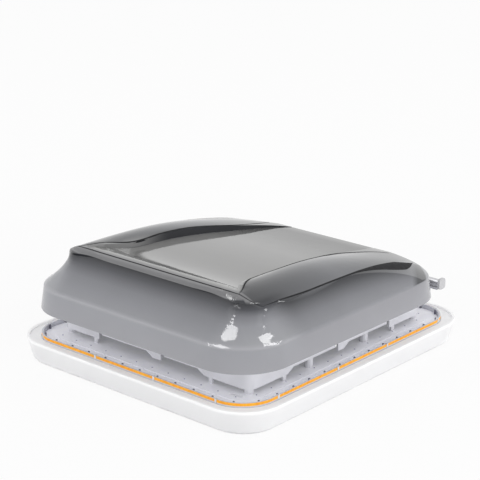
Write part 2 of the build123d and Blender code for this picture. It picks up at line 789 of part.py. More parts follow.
def flank_cutter(skin):
    """Scoop in the right flank: its arched outline across, its hollow along."""
    arch_points = [
        (run * dome_half_length, dome_z(rise) + skin)
        for run, rise in zip(flank_run_shares, flank_rise_shares)
    ]
    start_y = arch_points[0][0]
    end_y = arch_points[-1][0] + skin
    low_z = scoop_low_z - skin
    low_x = dome_half_width - waist_lean - skin
    high_x = arch_half_shares[0] * dome_half_width - scoop_overhang - skin
    middle_x = (low_x + high_x) / 2 - scoop_depth
    far_x = 2 * dome_half_width
    with BuildPart() as cutter:
        with BuildSketch(Plane.YZ):
            with BuildLine():
                Spline(*arch_points)
                Polyline(
                    arch_points[-1],
                    (end_y, low_z + scoop_corner),
                    (end_y - scoop_corner, low_z),
                    (start_y, low_z),
                    arch_points[0],
                )
            make_face()
        extrude(amount=far_x)
        with BuildSketch(Plane.XZ):
            with BuildLine():
                ThreePointArc(
                    (low_x, low_z),
                    (middle_x, (scoop_low_z + flank_high_z) / 2),
                    (high_x, flank_high_z + skin + over),
                )
                Polyline(
                    (high_x, flank_high_z + skin + over),
                    (far_x, flank_high_z + skin + over),
                    (far_x, low_z),
                    (low_x, low_z),
                )
            make_face()
        extrude(amount=2 * dome_half_length, both=True, mode=Mode.INTERSECT)
    return cutter.part


def front_cutter(skin):
    """Scoop in the front, under the lip; it runs out on the round corners by itself."""
    low_y = -(dome_front - waist_lean - skin)
    high_y = lip_y + scoop_overhang + skin
    middle_y = (low_y + high_y) / 2 + scoop_depth
    low_z = scoop_low_z - skin
    high_z = front_high_z + skin
    far_y = -2 * dome_half_length
    lip_points = [
        (half * dome_half_width, dome_z(rise) + skin)
        for half, rise in zip(front_half_shares, front_rise_shares)
    ]
    mirrored_points = [(-x, z) for x, z in lip_points]
    with BuildPart() as cutter:
        with BuildSketch(Plane.XZ):
            with BuildLine():
                Spline(*lip_points[1:])
                Spline(*mirrored_points[1:])
                Polyline(mirrored_points[1], lip_points[0], lip_points[1])
                Polyline(
                    lip_points[-1],
                    (lip_points[-1][0], low_z),
                    (mirrored_points[-1][0], low_z),
                    mirrored_points[-1],
                )
            make_face()
        extrude(amount=-far_y)
        with BuildSketch(Plane.YZ):
            with BuildLine():
                ThreePointArc(
                    (low_y, low_z), (middle_y, (low_z + high_z) / 2), (high_y, high_z + over)
                )
                Polyline(
                    (high_y, high_z + over), (far_y, high_z + over), (far_y, low_z), (low_y, low_z)
                )
            make_face()
        extrude(amount=2 * dome_half_width, both=True, mode=Mode.INTERSECT)
    return cutter.part


def dome_form(skin, foot_z):
    """Closed form of the dome from a foot height up, drawn in by a skin on every side."""
    flank = flank_cutter(skin)
    edge = dome_outline(foot_z, 0, 0, 0, dome_corner, skin)
    waist = dome_outline(dome_waist_z, waist_lean, waist_lean, waist_lean, waist_corner, skin)
    top = dome_outline(dome_top_z, top_lean_side, top_lean_front, top_lean_back, top_corner, skin)
    with BuildPart() as form:
        loft(sections=[edge, waist], ruled=True)
        loft(sections=[waist, top], ruled=True)
        add(roof_form(skin), mode=Mode.INTERSECT)
        add(panel_cutter(skin), mode=Mode.SUBTRACT)
        add(flank, mode=Mode.SUBTRACT)
        add(flank.mirror(Plane.YZ), mode=Mode.SUBTRACT)
        add(front_cutter(skin), mode=Mode.SUBTRACT)
    return form.part


with BuildPart() as dome_outer_pane:
    add(dome_form(0, dome_edge_z))
    add(dome_form(dome_wall, dome_edge_z - over), mode=Mode.SUBTRACT)
dome_outer_pane.part.label = "dome_outer_pane"
export_step(dome_outer_pane.part, "parts/dome_outer_pane.step")

# Inner pane: a flat rim that closes on the seal, and a low raised crown
pane_rim_z = pane_low_z + pane_thick
rim_lean = waist_lean * (pane_rim_z - dome_edge_z) / (dome_waist_z - dome_edge_z)


def pane_outline(height, lean, thick):
    """Sketch of the raised crown's outline at a height, drawn in by a lean and a thickness."""
    with BuildSketch(Plane.XY.offset(height)) as outline:
        with Locations((0, (pane_crown_back - pane_crown_front) / 2)):
            RectangleRounded(
                2 * (pane_crown_half_width - lean - thick),
                pane_crown_front + pane_crown_back - 2 * (lean + thick),
                pane_crown_corner - lean - thick,
            )
    return outline.sketch


with BuildPart() as dome_inner_pane:
    with BuildSketch(Plane.XY.offset(pane_low_z)):
        add(dome_outline(0, rim_lean, rim_lean, rim_lean, dome_corner, dome_wall + pane_gap))
    extrude(amount=pane_thick)
    loft(
        sections=[
            pane_outline(pane_rim_z, 0, 0),
            pane_outline(pane_rim_z + pane_crown_rise, pane_crown_lean, 0),
        ],
        ruled=True,
    )
    loft(
        sections=[
            pane_outline(pane_low_z, 0, pane_thick),
            pane_outline(pane_low_z + pane_crown_rise, pane_crown_lean, pane_thick),
        ],
        ruled=True,
        mode=Mode.SUBTRACT,
    )
dome_inner_pane.part.label = "dome_inner_pane"
export_step(dome_inner_pane.part, "parts/dome_inner_pane.step")

# Hinge: rail on the outer frame, leaf on the back of the dome, one long pin and two end caps
knuckle_gap = side_gap / 2
pin_bore = hinge_pin_radius + running_gap
with BuildPart() as hinge_rail:
    with BuildSketch(Plane.XY.offset(roof_z)):
        with Locations((0, (flange_back + rail_back) / 2)):
            Rectangle(2 * hinge_half, rail_back - flange_back)
    extrude(amount=flange_thick)
    pocket_start = middle_knuckle_half + knuckle_gap / 2
    pocket_end = outer_knuckle_start - knuckle_gap / 2
    pocket_floor = hinge_z - knuckle_radius - side_gap
    with BuildSketch(Plane.XY.offset(pocket_floor)):
        with GridLocations(pocket_start + pocket_end, 0, 2, 1):
            with Locations((0, hinge_y)):
                Rectangle(pocket_end - pocket_start, 2 * (knuckle_radius + side_gap))
    extrude(amount=flange_thick, mode=Mode.SUBTRACT)
    for inner_x, outer_x in (
        (-hinge_half, -outer_knuckle_start),
        (-middle_knuckle_half, middle_knuckle_half),
        (outer_knuckle_start, hinge_half),
    ):
        with BuildSketch(Plane.YZ.offset(inner_x)):
            with Locations((hinge_y, hinge_z)):
                Circle(knuckle_radius)
            with Locations((hinge_y, (hinge_z + roof_z) / 2)):
                Rectangle(2 * knuckle_radius, hinge_z - roof_z)
        extrude(amount=outer_x - inner_x)
    with BuildSketch(Plane.YZ):
        with Locations((hinge_y, hinge_z)):
            Circle(pin_bore)
    extrude(amount=hinge_half, both=True, mode=Mode.SUBTRACT)
hinge_rail.part.label = "hinge_rail"
export_step(hinge_rail.part, "parts/hinge_rail.step")

leaf_start = middle_knuckle_half + knuckle_gap
leaf_end = outer_knuckle_start - knuckle_gap
leaf_y = dome_back + leaf_gap
leaf_half = dome_half_width - dome_corner
with BuildPart() as hinge_leaf:
    with BuildSketch(Plane.YZ):
        with Locations((leaf_y + leaf_thick / 2, (hinge_z + leaf_top_z) / 2)):
            Rectangle(leaf_thick, leaf_top_z - hinge_z)
    extrude(amount=leaf_half, both=True)
    for side in (-1, 1):
        with BuildSketch(Plane.YZ.offset(side * leaf_start)):
            with Locations((hinge_y, hinge_z)):
                Circle(knuckle_radius)
            with Locations(((leaf_y + hinge_y) / 2, hinge_z + knuckle_radius / 2)):
                Rectangle(hinge_y - leaf_y, knuckle_radius)
        extrude(amount=side * (leaf_end - leaf_start))
    # Clearance round the rail's own knuckles
    for inner_x, outer_x in (
        (-hinge_half, -leaf_end),
        (-leaf_start, leaf_start),
        (leaf_end, hinge_half),
    ):
        with BuildSketch(Plane.YZ.offset(inner_x)):
            with Locations((hinge_y, hinge_z)):
                Circle(knuckle_radius + side_gap)
        extrude(amount=outer_x - inner_x, mode=Mode.SUBTRACT)
    with BuildSketch(Plane.YZ):
        with Locations((hinge_y, hinge_z)):
            Circle(pin_bore)
    extrude(amount=hinge_half, both=True, mode=Mode.SUBTRACT)
hinge_leaf.part.label = "hinge_leaf"
export_step(hinge_leaf.part, "parts/hinge_leaf.step")

with BuildPart() as hinge_pin:
    with BuildSketch(Plane.YZ):
        with Locations((hinge_y, hinge_z)):
            Circle(hinge_pin_radius)
    extrude(amount=hinge_half, both=True)
hinge_pin.part.label = "hinge_pin"
export_step(hinge_pin.part, "parts/hinge_pin.step")

for side, side_name in ((-1, "left"), (1, "right")):
    with BuildPart() as hinge_cap:
        with BuildSketch(Plane.YZ.offset(side * hinge_half)):
            with Locations(((flange_back + rail_back) / 2, (roof_z + hinge_cap_top_z) / 2)):
                RectangleRounded(
                    rail_back - flange_back, hinge_cap_top_z - roof_z, hinge_cap_round
                )
        extrude(amount=side * hinge_cap_length)
    hinge_cap.part.label = f"hinge_cap_{side_name}"
    export_step(hinge_cap.part, f"parts/hinge_cap_{side_name}.step")

# Guides of the bow, on the side walls of the neck, and its brackets under the inner pane
pivot_y = hinge_y - bow_arm_reach
slide_y = hinge_y - 2 * bow_arm_reach
handle_y = slide_y - bow_handle_reach
guide_front_y = slide_y - guide_front_run
arm_outer_x = bow_arm_x + bow_arm_thick / 2
bracket_outer_x = bow_arm_x - bow_arm_thick / 2 - bow_bracket_gap
for side, side_name in ((-1, "left"), (1, "right")):
    with BuildPart() as bow_guide:
        with BuildSketch(Plane.YZ.offset(side * guide_inner_x)):
            with Locations(((guide_front_y + guide_back_y) / 2, hinge_z)):
                Rectangle(guide_back_y - guide_front_y, guide_height)
        extrude(amount=side * (neck_inner_x - guide_inner_x))
        with BuildSketch(Plane.YZ.offset(side * guide_inner_x)):
            with Locations(((guide_front_y + guide_back_y) / 2, hinge_z)):
                SlotOverall(
                    guide_back_y - guide_front_y - guide_front_run,
                    2 * (bow_pin_radius + guide_slack),
                )
        extrude(amount=side * guide_slot_depth, mode=Mode.SUBTRACT)
    bow_guide.part.label = f"bow_guide_{side_name}"
    export_step(bow_guide.part, f"parts/bow_guide_{side_name}.step")

    with BuildPart() as bow_bracket:
        with BuildSketch(Plane.YZ.offset(side * (bracket_outer_x - bow_bracket_web))):
            with BuildLine():
                Polyline(
                    (pivot_y - bow_bracket_length / 2, pane_low_z),
                    (pivot_y - bow_bracket_drop, hinge_z),
                    (pivot_y - bow_bracket_drop, hinge_z - bow_bracket_drop),
                    (pivot_y + bow_bracket_drop, hinge_z - bow_bracket_drop),
                    (pivot_y + bow_bracket_drop, hinge_z),
                    (pivot_y + bow_bracket_length / 2, pane_low_z),
                    close=True,
                )
            make_face()
            with Locations((pivot_y, hinge_z)):
                Circle(bow_pin_radius, mode=Mode.SUBTRACT)
        extrude(amount=side * bow_bracket_web)
        with BuildSketch(Plane.XY.offset(pane_low_z)):
            with Locations((side * (bow_bracket_inner_x + bracket_outer_x) / 2, pivot_y)):
                Rectangle(bracket_outer_x - bow_bracket_inner_x, bow_bracket_length)
        extrude(amount=-bow_bracket_foot)
    bow_bracket.part.label = f"bow_bracket_{side_name}"
    export_step(bow_bracket.part, f"parts/bow_bracket_{side_name}.step")

# Bow lever: two arms joined by a cross bar
with BuildPart() as bow_lever:
    for side in (-1, 1):
        with BuildSketch(Plane.YZ.offset(side * (bow_arm_x - bow_arm_thick / 2))):
            with Locations(((handle_y + pivot_y) / 2, hinge_z)):
                SlotCenterToCenter(pivot_y - handle_y, bow_arm_height)
            with Locations((pivot_y, hinge_z)):
                Circle(bow_pin_radius + running_gap, mode=Mode.SUBTRACT)
            with Locations((slide_y, hinge_z)):
                Circle(bow_pin_radius, mode=Mode.SUBTRACT)
        extrude(amount=side * bow_arm_thick)
    with BuildSketch(Plane.YZ):
        with Locations((handle_y, hinge_z)):
            Circle(bow_bar_radius)
    extrude(amount=bow_arm_x - bow_arm_thick / 2, both=True)
bow_lever.part.label = "bow_lever"
export_step(bow_lever.part, "parts/bow_lever.step")

with BuildPart() as bow_grip:
    with BuildSketch(Plane.YZ):
        with Locations((handle_y, hinge_z)):
            Circle(bow_grip_radius)
            Circle(bow_bar_radius, mode=Mode.SUBTRACT)
    extrude(amount=bow_grip_length / 2, both=True)
bow_grip.part.label = "bow_grip"
export_step(bow_grip.part, "parts/bow_grip.step")

for pins_name, pin_y, inner_x, outer_x in (
    ("bow_pivot_pins", pivot_y, bracket_outer_x - bow_bracket_web, arm_outer_x),
    ("bow_slide_pins", slide_y, bow_arm_x - bow_arm_thick / 2, guide_inner_x + guide_slot_depth),
):
    with BuildPart() as bow_pins:
        for side in (-1, 1):
            with BuildSketch(Plane.YZ.offset(side * inner_x)):
                with Locations((pin_y, hinge_z)):
                    Circle(bow_pin_radius)
            extrude(amount=side * (outer_x - inner_x - pin_end_gap))
    bow_pins.part.label = pins_name
    export_step(bow_pins.part, f"parts/{pins_name}.step")

# Turn catches on the front wall of the neck, drawn unlocked
catch_front_y = catch_boss_front_y + catch_gap
for side, side_name in ((-1, "left"), (1, "right")):
    with BuildPart() as lock_catch:
        with BuildSketch(Plane.XZ.offset(-catch_front_y)):
            with Locations((side * catch_x, catch_z)):
                Circle(catch_shaft_radius)
        extrude(amount=catch_front_y + neck_inner_y)
        with BuildSketch(Plane.XZ.offset(-catch_front_y)):
            with Locations((side * catch_x, catch_z)):
                Circle(catch_disc_radius)
        extrude(amount=-catch_disc_thick)
        with BuildSketch(Plane.XZ.offset(-catch_front_y - catch_disc_thick)):
            reach = side * (catch_x + catch_finger_length)
            tab = side * (catch_x - catch_tab_length)
            with Locations(((reach + tab) / 2, catch_z)):
                RectangleRounded(
                    abs(reach - tab), catch_finger_width, catch_finger_width / 4
                )
        extrude(amount=-catch_lever_thick)
    lock_catch.part.label = f"lock_catch_{side_name}"
    export_step(lock_catch.part, f"parts/lock_catch_{side_name}.step")
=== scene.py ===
"""Finishes, cloths and studio for the caravan roof vent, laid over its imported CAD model.

The frame of the scene is the model's own: X across, -Y the edge that opens, +Y the hinge, +Z up,
in metres. Sizes in comments are millimetres on the real vent.
"""

import math

import bmesh
import bpy
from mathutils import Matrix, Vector
from mathutils.bvhtree import BVHTree
from mathutils.kdtree import KDTree


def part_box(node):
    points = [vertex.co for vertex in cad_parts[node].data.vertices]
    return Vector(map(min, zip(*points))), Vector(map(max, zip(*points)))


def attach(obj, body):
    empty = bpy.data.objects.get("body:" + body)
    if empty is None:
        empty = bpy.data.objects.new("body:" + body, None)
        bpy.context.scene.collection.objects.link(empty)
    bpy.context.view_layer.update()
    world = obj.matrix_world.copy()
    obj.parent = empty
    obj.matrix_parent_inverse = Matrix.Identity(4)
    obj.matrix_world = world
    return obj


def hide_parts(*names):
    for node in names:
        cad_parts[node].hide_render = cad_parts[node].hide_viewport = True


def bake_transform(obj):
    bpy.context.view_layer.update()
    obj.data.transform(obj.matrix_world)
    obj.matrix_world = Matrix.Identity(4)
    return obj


bl_info = {
    "name": "Caravan roof vent",
    "version": (1, 0, 0),
    "blender": (4, 5, 0),
    "location": "3D View > Sidebar > Roof vent",
    "description": "Dresses the roof vent with its finishes, blinds and studio",
    "category": "Object",
}

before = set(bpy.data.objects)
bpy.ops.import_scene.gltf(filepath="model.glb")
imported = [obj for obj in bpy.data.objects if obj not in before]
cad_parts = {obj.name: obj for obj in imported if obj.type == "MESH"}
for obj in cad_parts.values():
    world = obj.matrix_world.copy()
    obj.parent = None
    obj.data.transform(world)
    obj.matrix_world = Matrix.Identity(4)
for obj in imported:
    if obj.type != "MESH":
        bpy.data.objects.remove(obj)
MM = 0.001

# Lines on the dome, as shares: along its length, from 222 mm ahead of the middle to 222 mm
# behind, against its half width; the front line runs the other way, half width against length.
# The ends of a curve come first, as its node has them
DOME_HALF_WIDTH = 223.6 * MM
DOME_HALF_LENGTH = 222.0 * MM
RIDGE_LINE = (
    (0.0, 0.70), (1.0, 0.57), (0.08, 0.68), (0.225, 0.53), (0.385, 0.52), (0.5, 0.51),
    (0.615, 0.487), (0.71, 0.467), (0.79, 0.468), (0.89, 0.49), (0.96, 0.535),
)
EDGE_LINE = (
    (0.0, 0.80), (1.0, 0.74), (0.115, 0.822), (0.29, 0.842), (0.395, 0.840), (0.51, 0.829),
    (0.62, 0.807), (0.735, 0.778), (0.875, 0.750),
)
FRONT_LINE = (
    (0.0, 0.074), (0.45, 0.074), (0.60, 0.074), (0.70, 0.076), (0.77, 0.086), (0.80, 0.098),
    (0.822, 0.118),
)
# Height of the arch over a flank's scoop, as a share of 80 to 186 mm, along the dome
ARCH_LINE = (
    (0.0, 0.80), (1.0, 0.33), (0.035, 0.57), (0.11, 0.655), (0.23, 0.70), (0.41, 0.70),
    (0.525, 0.68), (0.635, 0.645), (0.735, 0.585), (0.80, 0.532), (0.875, 0.462), (0.94, 0.385),
)


def linear(hex_code):
    """Linear RGBA of an sRGB colour written as a hex code; anything else as it is."""
    if not isinstance(hex_code, str):
        return hex_code
    shares = [int(hex_code[at : at + 2], 16) / 255 for at in (1, 3, 5)]
    return [s / 12.92 if s <= 0.04045 else ((s + 0.055) / 1.055) ** 2.4 for s in shares] + [1.0]


def per_mm(size):
    """Texture scale, per metre of object, for a pattern that repeats every so many millimetres."""
    return 1.0 / (size * MM)


def add(tree, kind, feeds=None, stops=None, curve=None, out=None, **settings):
    """One node with its settings, its ramp stops or curve points, and what feeds its sockets.
    A node given as a feed stands for its first output in use; out is the socket of the
    material's own output that the node feeds."""
    made = tree.nodes.new(kind)
    for name, value in settings.items():
        setattr(made, name, value)
    for at, (place, colour) in enumerate(stops or ()):
        band = made.color_ramp.elements
        stop = band[at] if at < 2 else band.new(place)
        stop.position = place
        stop.color = linear(colour)
    for at, (place, height) in enumerate(curve or ()):
        line = made.mapping.curves[0].points
        point = line[at] if at < 2 else line.new(place, height)
        point.location = (place, height)
    for socket, value in (feeds or {}).items():
        if isinstance(value, bpy.types.Node):
            value = next(port for port in value.outputs if port.enabled)
        if isinstance(value, bpy.types.NodeSocket):
            tree.links.new(value, made.inputs[socket])
        else:
            made.inputs[socket].default_value = linear(value)
    if curve:
        made.mapping.update()
    if out:
        tree.links.new(made.outputs[0], tree.nodes[0].inputs[out])
    return made


def finish(name):
    """A new material with nothing in its node tree but the output."""
    made = bpy.data.materials.new(name)
    made.use_nodes = True
    made.node_tree.nodes.clear()
    add(made.node_tree, "ShaderNodeOutputMaterial")
    return made, made.node_tree


def grain(tree, size, depth=0.0, stretch=(1.0, 1.0, 1.0), detail=2.0, tones=None):
    """Noise of a moulded, drawn or cast skin, its bump, and its drift between two near tones, the
    light one first. Size and depth are in millimetres."""
    coords = add(tree, "ShaderNodeTexCoord").outputs["Object"]
    mapped = add(tree, "ShaderNodeMapping", {"Vector": coords, "Scale": stretch})
    feeds = {"Vector": mapped, "Scale": per_mm(size), "Detail": detail}
    noise = add(tree, "ShaderNodeTexNoise", feeds)
    bump = tone = None
    if depth:
        bump = add(tree, "ShaderNodeBump", {"Height": noise, "Distance": depth * MM})
    if tones:
        stops = ((0.35, tones[1]), (0.65, tones[0]))
        tone = add(tree, "ShaderNodeValToRGB", {"Fac": noise}, stops=stops)
    return noise, bump, tone


def moulded(name, light, dark, roughness, grain_size, grain_depth):
    """A moulded plastic: two near tones in slow patches under a fine spark-eroded grain."""
    made, tree = finish(name)
    feeds = {
        "Base Color": grain(tree, 45.0, tones=(light, dark))[2],
        "Roughness": roughness,
        "Normal": grain(tree, grain_size, grain_depth)[1],
    }
    add(tree, "ShaderNodeBsdfPrincipled", feeds, out="Surface")
    return made


def drawn_metal(name, light, dark, roughness, line_width, stretch):
    """A metal with fine lines along the way it was drawn or turned."""
    made, tree = finish(name)
    lines, bump, tone = grain(tree, line_width, 0.02, stretch, 4.0, (light, dark))
    feeds = {"Value": lines, "To Min": roughness * 0.8, "To Max": roughness * 1.3}
    worn = add(tree, "ShaderNodeMapRange", feeds)
    feeds = {"Base Color": tone, "Metallic": 1.0, "Roughness": worn, "Normal": bump}
    add(tree, "ShaderNodeBsdfPrincipled", feeds, out="Surface")
    return made


def dress(material, *names):
    """Puts a finish on CAD nodes of the frame, and on nothing else."""
    for name in names:
        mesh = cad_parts[name].data
        mesh.materials.clear()
        mesh.materials.append(material)


def piece(name, verts, faces, body, material, smooth=False):
    """A new mesh piece, riding on a body, or on none where it is blended or stage."""
    mesh = bpy.data.meshes.new(name)
    mesh.from_pydata(verts, [], faces)
    mesh.update()
    mesh.materials.append(material)
    for polygon in mesh.polygons:
        polygon.use_smooth = smooth
    obj = bpy.data.objects.new(name, mesh)
    bpy.context.collection.objects.link(obj)
    if body:
        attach(obj, body)
    return obj


def length(name, description, metres):
    """A length setting."""
    return bpy.props.FloatProperty(
        name=name, description=description, default=metres, unit="LENGTH"
    )


def colour(name, description, hex_code):
    """A colour setting."""
    return bpy.props.FloatVectorProperty(
        name=name, description=description, subtype="COLOR", size=4, default=linear(hex_code)
    )


class VentFinishes(bpy.types.PropertyGroup):
    """Colours of the vent's finishes."""

    rim: colour("Rim", "Opal polycarbonate of the lit rim", "#f1f1f2")
    # Rim foot: the rim's tone at the bottom of its height ramp, which darkens towards the foot
    rim_low: colour(
        "Rim foot", "Opal polycarbonate where its wall is thick, at the foot", "#e8e8ea"
    )
    plate: colour("Plate", "Painted plate against the ceiling", "#f3f3f8")
    strip: colour("Light strip", "Phosphor sleeve of the light strip", "#ffb52e")
    neck: colour("Neck", "Moulded outer frame with its lugs", "#dedee3")
    # The dome's tones carry painted shade, deepest in Dome shade below the lip and the arches
    dome_skirt: colour("Dome skirt", "Smoked acrylic low on the dome's wall", "#9c9ca1")
    dome_shade: colour("Dome shade", "Smoked acrylic at its darkest, below the arches", "#2f3034")
    dome_panel: colour("Dome panel", "Smoked acrylic of the recessed middle panel", "#868685")
    dome_wing: colour("Dome wings", "Smoked acrylic of the wings beside the panel", "#6b6c70")


class VentSizes(bpy.types.PropertyGroup):
    """Sizes of the pieces that this file adds to the model."""

    pip_radius: length("Pip radius", "Radius of the pips along the light strip", 1.5 * MM)
    pip_rise: length("Pip rise", "How far a low pip stands out of the plate", 0.5 * MM)
    pip_count: bpy.props.IntProperty(
        name="Pips in a row",
        description="Pips all the way round, one to each length of the light strip",
        default=50,
    )
    strip_inset: length("Strip inset", "From the frame's outline to the strip's middle", 19.0 * MM)
    strip_corner: length("Strip corner", "Corner radius of the light strip's line", 52.0 * MM)
    cloth_half: length("Cloth half width", "Half width of both blind cloths", 157.4 * MM)
    cloth_pleats: bpy.props.IntProperty(
        name="Pleats", description="Pleats in each blind cloth", default=30
    )


class VentStudio(bpy.types.PropertyGroup):
    """Camera, lamps and floor."""

    azimuth: bpy.props.FloatProperty(
        name="Azimuth",
        description="Turn of the camera round the vent",
        default=math.radians(41.27),
        subtype="ANGLE",
    )
    elevation: bpy.props.FloatProperty(
        name="Elevation",
        description="Camera's angle above the horizon",
        default=math.radians(18.0),
        subtype="ANGLE",
    )
    lens: bpy.props.FloatProperty(
        name="Lens", description="Focal length on a 36 mm sensor, in millimetres", default=115.5
    )
    camera_place: bpy.props.FloatVectorProperty(
        name="Camera place",
        description="Where the camera stands",
        subtype="XYZ_LENGTH",
        size=3,
        default=(1.4252, -1.6331, 0.8724),
        unit="LENGTH",
    )
    surround: bpy.props.FloatProperty(
        name="Surround",
        description="Level of the white surround as light; the eye sees it at 1",
        default=0.82,
    )
    floor_glow: bpy.props.FloatProperty(
        name="Floor glow", description="Share of plain white in the floor, as seen", default=0.86
    )
    floor_half: length("Floor half width", "Half width of the studio floor", 9.0)


def ring_path(half_x, half_y, corner, count, start):
    """Points with outward directions, evenly spaced round a rounded rectangle, counterclockwise.
    start is the distance from the front edge's left tangent point to the first of them."""
    straight_x, straight_y = 2 * (half_x - corner), 2 * (half_y - corner)
    arc = corner * math.pi / 2
    legs = []
    for turn, run in ((0, straight_x), (1, straight_y), (2, straight_x), (3, straight_y)):
        legs += [(turn, run, False), (turn, arc, True)]
    total = 2 * (straight_x + straight_y) + 4 * arc
    points = []
    for at in range(count):
        way = (start + at * total / count) % total
        for turn, run, bent in legs:
            if way <= run:
                break
            way -= run
        flat_x, flat_y = (straight_x, straight_y) if turn % 2 == 0 else (straight_y, straight_x)
        angle = way / corner if bent else 0.0
        across = flat_x / 2 + corner * math.sin(angle) if bent else way - flat_x / 2
        out = flat_y / 2 + corner * math.cos(angle)
        back = Vector((across, -out, 0.0))
        facing = Vector((math.sin(angle), -math.cos(angle), 0.0))
        for vector in (back, facing):
            x, y = vector.x, vector.y
            for _ in range(turn):
                x, y = -y, x
            vector.x, vector.y = x, y
        points.append((back, facing))
    return points


def surface_of(*names):
    """Ray-testing tree of the surfaces of CAD nodes and new pieces."""
    verts, faces = [], []
    for name in names:
        mesh = (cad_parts.get(name) or bpy.data.objects[name]).data
        start = len(verts)
        verts += [v.co.copy() for v in mesh.vertices]
        faces += [[start + i for i in p.vertices] for p in mesh.polygons]
    return BVHTree.FromPolygons(verts, faces)


class DressLitRim(bpy.types.Operator):
    """Opal polycarbonate on the light rim of the inner frame"""

    bl_idname = "vent.lit_rim"
    bl_label = "Lit rim"

    def execute(self, context):
        # Opal polycarbonate, injection moulded: milky, light soaks in; its tone darkens towards the
        # foot and rises to a painted highlight along the thin crest, and the ledge by the strip has
        # a painted glow
        looks = context.scene.vent_finishes
        made, tree = finish("Opal polycarbonate, moulded")
        coords = add(tree, "ShaderNodeTexCoord")
        z = add(tree, "ShaderNodeSeparateXYZ", {"Vector": coords.outputs["Object"]}).outputs["Z"]
        # Whole height of the rim, and its ledge with the painted glow
        height, lit = (
            add(tree, "ShaderNodeMapRange", {"Value": z, "From Min": low, "From Max": high})
            for low, high in ((2 * MM, 36 * MM), (30 * MM, 33 * MM))
        )
        # Tone by height: darker towards the foot, up to a painted highlight along the crest
        tone = add(
            tree,
            "ShaderNodeValToRGB",
            {"Fac": height},
            stops=((0.0, looks.rim_low), (0.85, looks.rim), (0.97, "#f6f6f6")),
        )
        cloudy = add(tree, "ShaderNodeMix", {
            "Factor": grain(tree, 60.0)[0],
            6: tone,
            7: looks.rim,
        }, data_type="RGBA")
        add(tree, "ShaderNodeBsdfPrincipled", {
            "Base Color": cloudy,
            "Roughness": 0.45,
            "IOR": 1.58,
            "Subsurface Weight": 0.35,
            "Subsurface Radius": (1.0, 1.0, 1.0),
            "Subsurface Scale": 4 * MM,
            # Painted glow on the ledge: a faint light of its own
            "Emission Color": lit,
            "Emission Strength": 0.1,
            "Normal": grain(tree, 1.6, 0.015)[1],
        }, out="Surface")
        dress(made, "light_diffuser")
        return {"FINISHED"}


class DressInnerFrame(bpy.types.Operator):
    """Moulded inner frame and the painted plate against the ceiling"""

    bl_idname = "vent.inner_frame"
    bl_label = "Inner frame and plate"

    def execute(self, context):
        # ABS, injection moulded in white: satin, with a fine spark-eroded grain
        looks = context.scene.vent_finishes
        white = moulded("White ABS, moulded", "#eeeeec", "#e6e6e4", 0.38, 1.4, 0.02)
        dress(white, "inner_frame")
        # ABS, moulded and sprayed pale grey: matt, faintly lilac, with the spray's slow mottle, and
        # an even painted glow that lifts it where the dome shades it
        made, tree = finish("Grey ABS, sprayed")
        coords = add(tree, "ShaderNodeTexCoord")
        specks = add(
            tree, "ShaderNodeTexVoronoi", {"Vector": coords.outputs["Object"], "Scale": per_mm(9.0)}
        )
        speck = add(tree, "ShaderNodeMapRange", {
            "Value": specks,
            "From Min": 0.04,
            "From Max": 0.09,
            "To Min": 0.12,
            "To Max": 0.0,
        })
        dark = [share * 0.92 for share in looks.plate[:3]] + [1.0]
        patches = grain(tree, 30.0, tones=(looks.plate, dark))[2]
        tone = add(
            tree, "ShaderNodeMix", {"Factor": speck, 6: patches, 7: "#8d8d98"}, data_type="RGBA"
        )
        add(tree, "ShaderNodeBsdfPrincipled", {
            "Base Color": tone,
            "Roughness": 0.5,
            "Normal": grain(tree, 1.2, 0.03)[1],
            # Painted glow, even all over the plate
            "Emission Color": "#f0f0f6",
            "Emission Strength": 0.14,
        }, out="Surface")
        dress(made, "ceiling_plate")
        return {"FINISHED"}


class AddPlatePips(bpy.types.Operator):
    """Pegs that hold the light strip upright, and a row of low pips inboard of them"""

    bl_idname = "vent.plate_pips"
    bl_label = "Plate pips"

    def execute(self, context):
        sizes = context.scene.vent_sizes
        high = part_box("light_diffuser")[1]
        plate = surface_of("ceiling_plate", "inner_frame")
        line_x = high.x - sizes.strip_inset
        line_y = high.y - sizes.strip_inset
        sides = 12
        # Dark ABS plugs in the outer row, paler ones inboard: satin, seen as dots from above
        finishes = (
            moulded("Dark grey ABS, moulded", "#6c6c7c", "#62626e", 0.45, 1.0, 0.02),
            moulded("Mid grey ABS, moulded", "#a9a9b4", "#a0a0ab", 0.45, 1.0, 0.02),
        )
        # How far inboard, share of the radius, start along the row, the top's height above the
        # rim's foot (0 for a low pip), name
        rows = (
            (4.3 * MM, 1.0, 6.4 * MM, 40.0 * MM, "outer"),
            (29.0 * MM, 0.85, 22.0 * MM, 0.0, "inner"),
        )
        for (inset, share, start, high_z, row), material in zip(rows, finishes):
            corner = max(sizes.strip_corner - inset, 20 * MM)
            path = ring_path(line_x - inset, line_y - inset, corner, sizes.pip_count, start)
            verts, faces = [], []
            for centre, _ in path:
                hit = plate.ray_cast(Vector((centre.x, centre.y, 60 * MM)), Vector((0, 0, -1)))
                if hit[0] is None or hit[0].z < 30 * MM:
                    continue
                radius = sizes.pip_radius * share
                foot = hit[0].z - 0.2 * MM
                top = high_z or hit[0].z + sizes.pip_rise
                profile = ((1.0, foot), (1.0, top - 0.5 * MM), (0.75, top - 0.1 * MM), (0.35, top))
                first = len(verts)
                for ring, height in profile:
                    for step in range(sides):
                        turn = step * math.tau / sides
                        x = centre.x + radius * ring * math.cos(turn)
                        y = centre.y + radius * ring * math.sin(turn)
                        verts.append((x, y, height))
                for start_of in range(first, len(verts) - sides, sides):
                    for step in range(sides):
                        a, b = start_of + step, start_of + (step + 1) % sides
                        faces.append((a, b, b + sides, a + sides))
                faces.append(list(range(len(verts) - sides, len(verts))))
            if not faces:
                raise RuntimeError("no pip stands on the plate")
            piece(f"plate_pips_{row}", verts, faces, "frame", material, smooth=True)
        return {"FINISHED"}


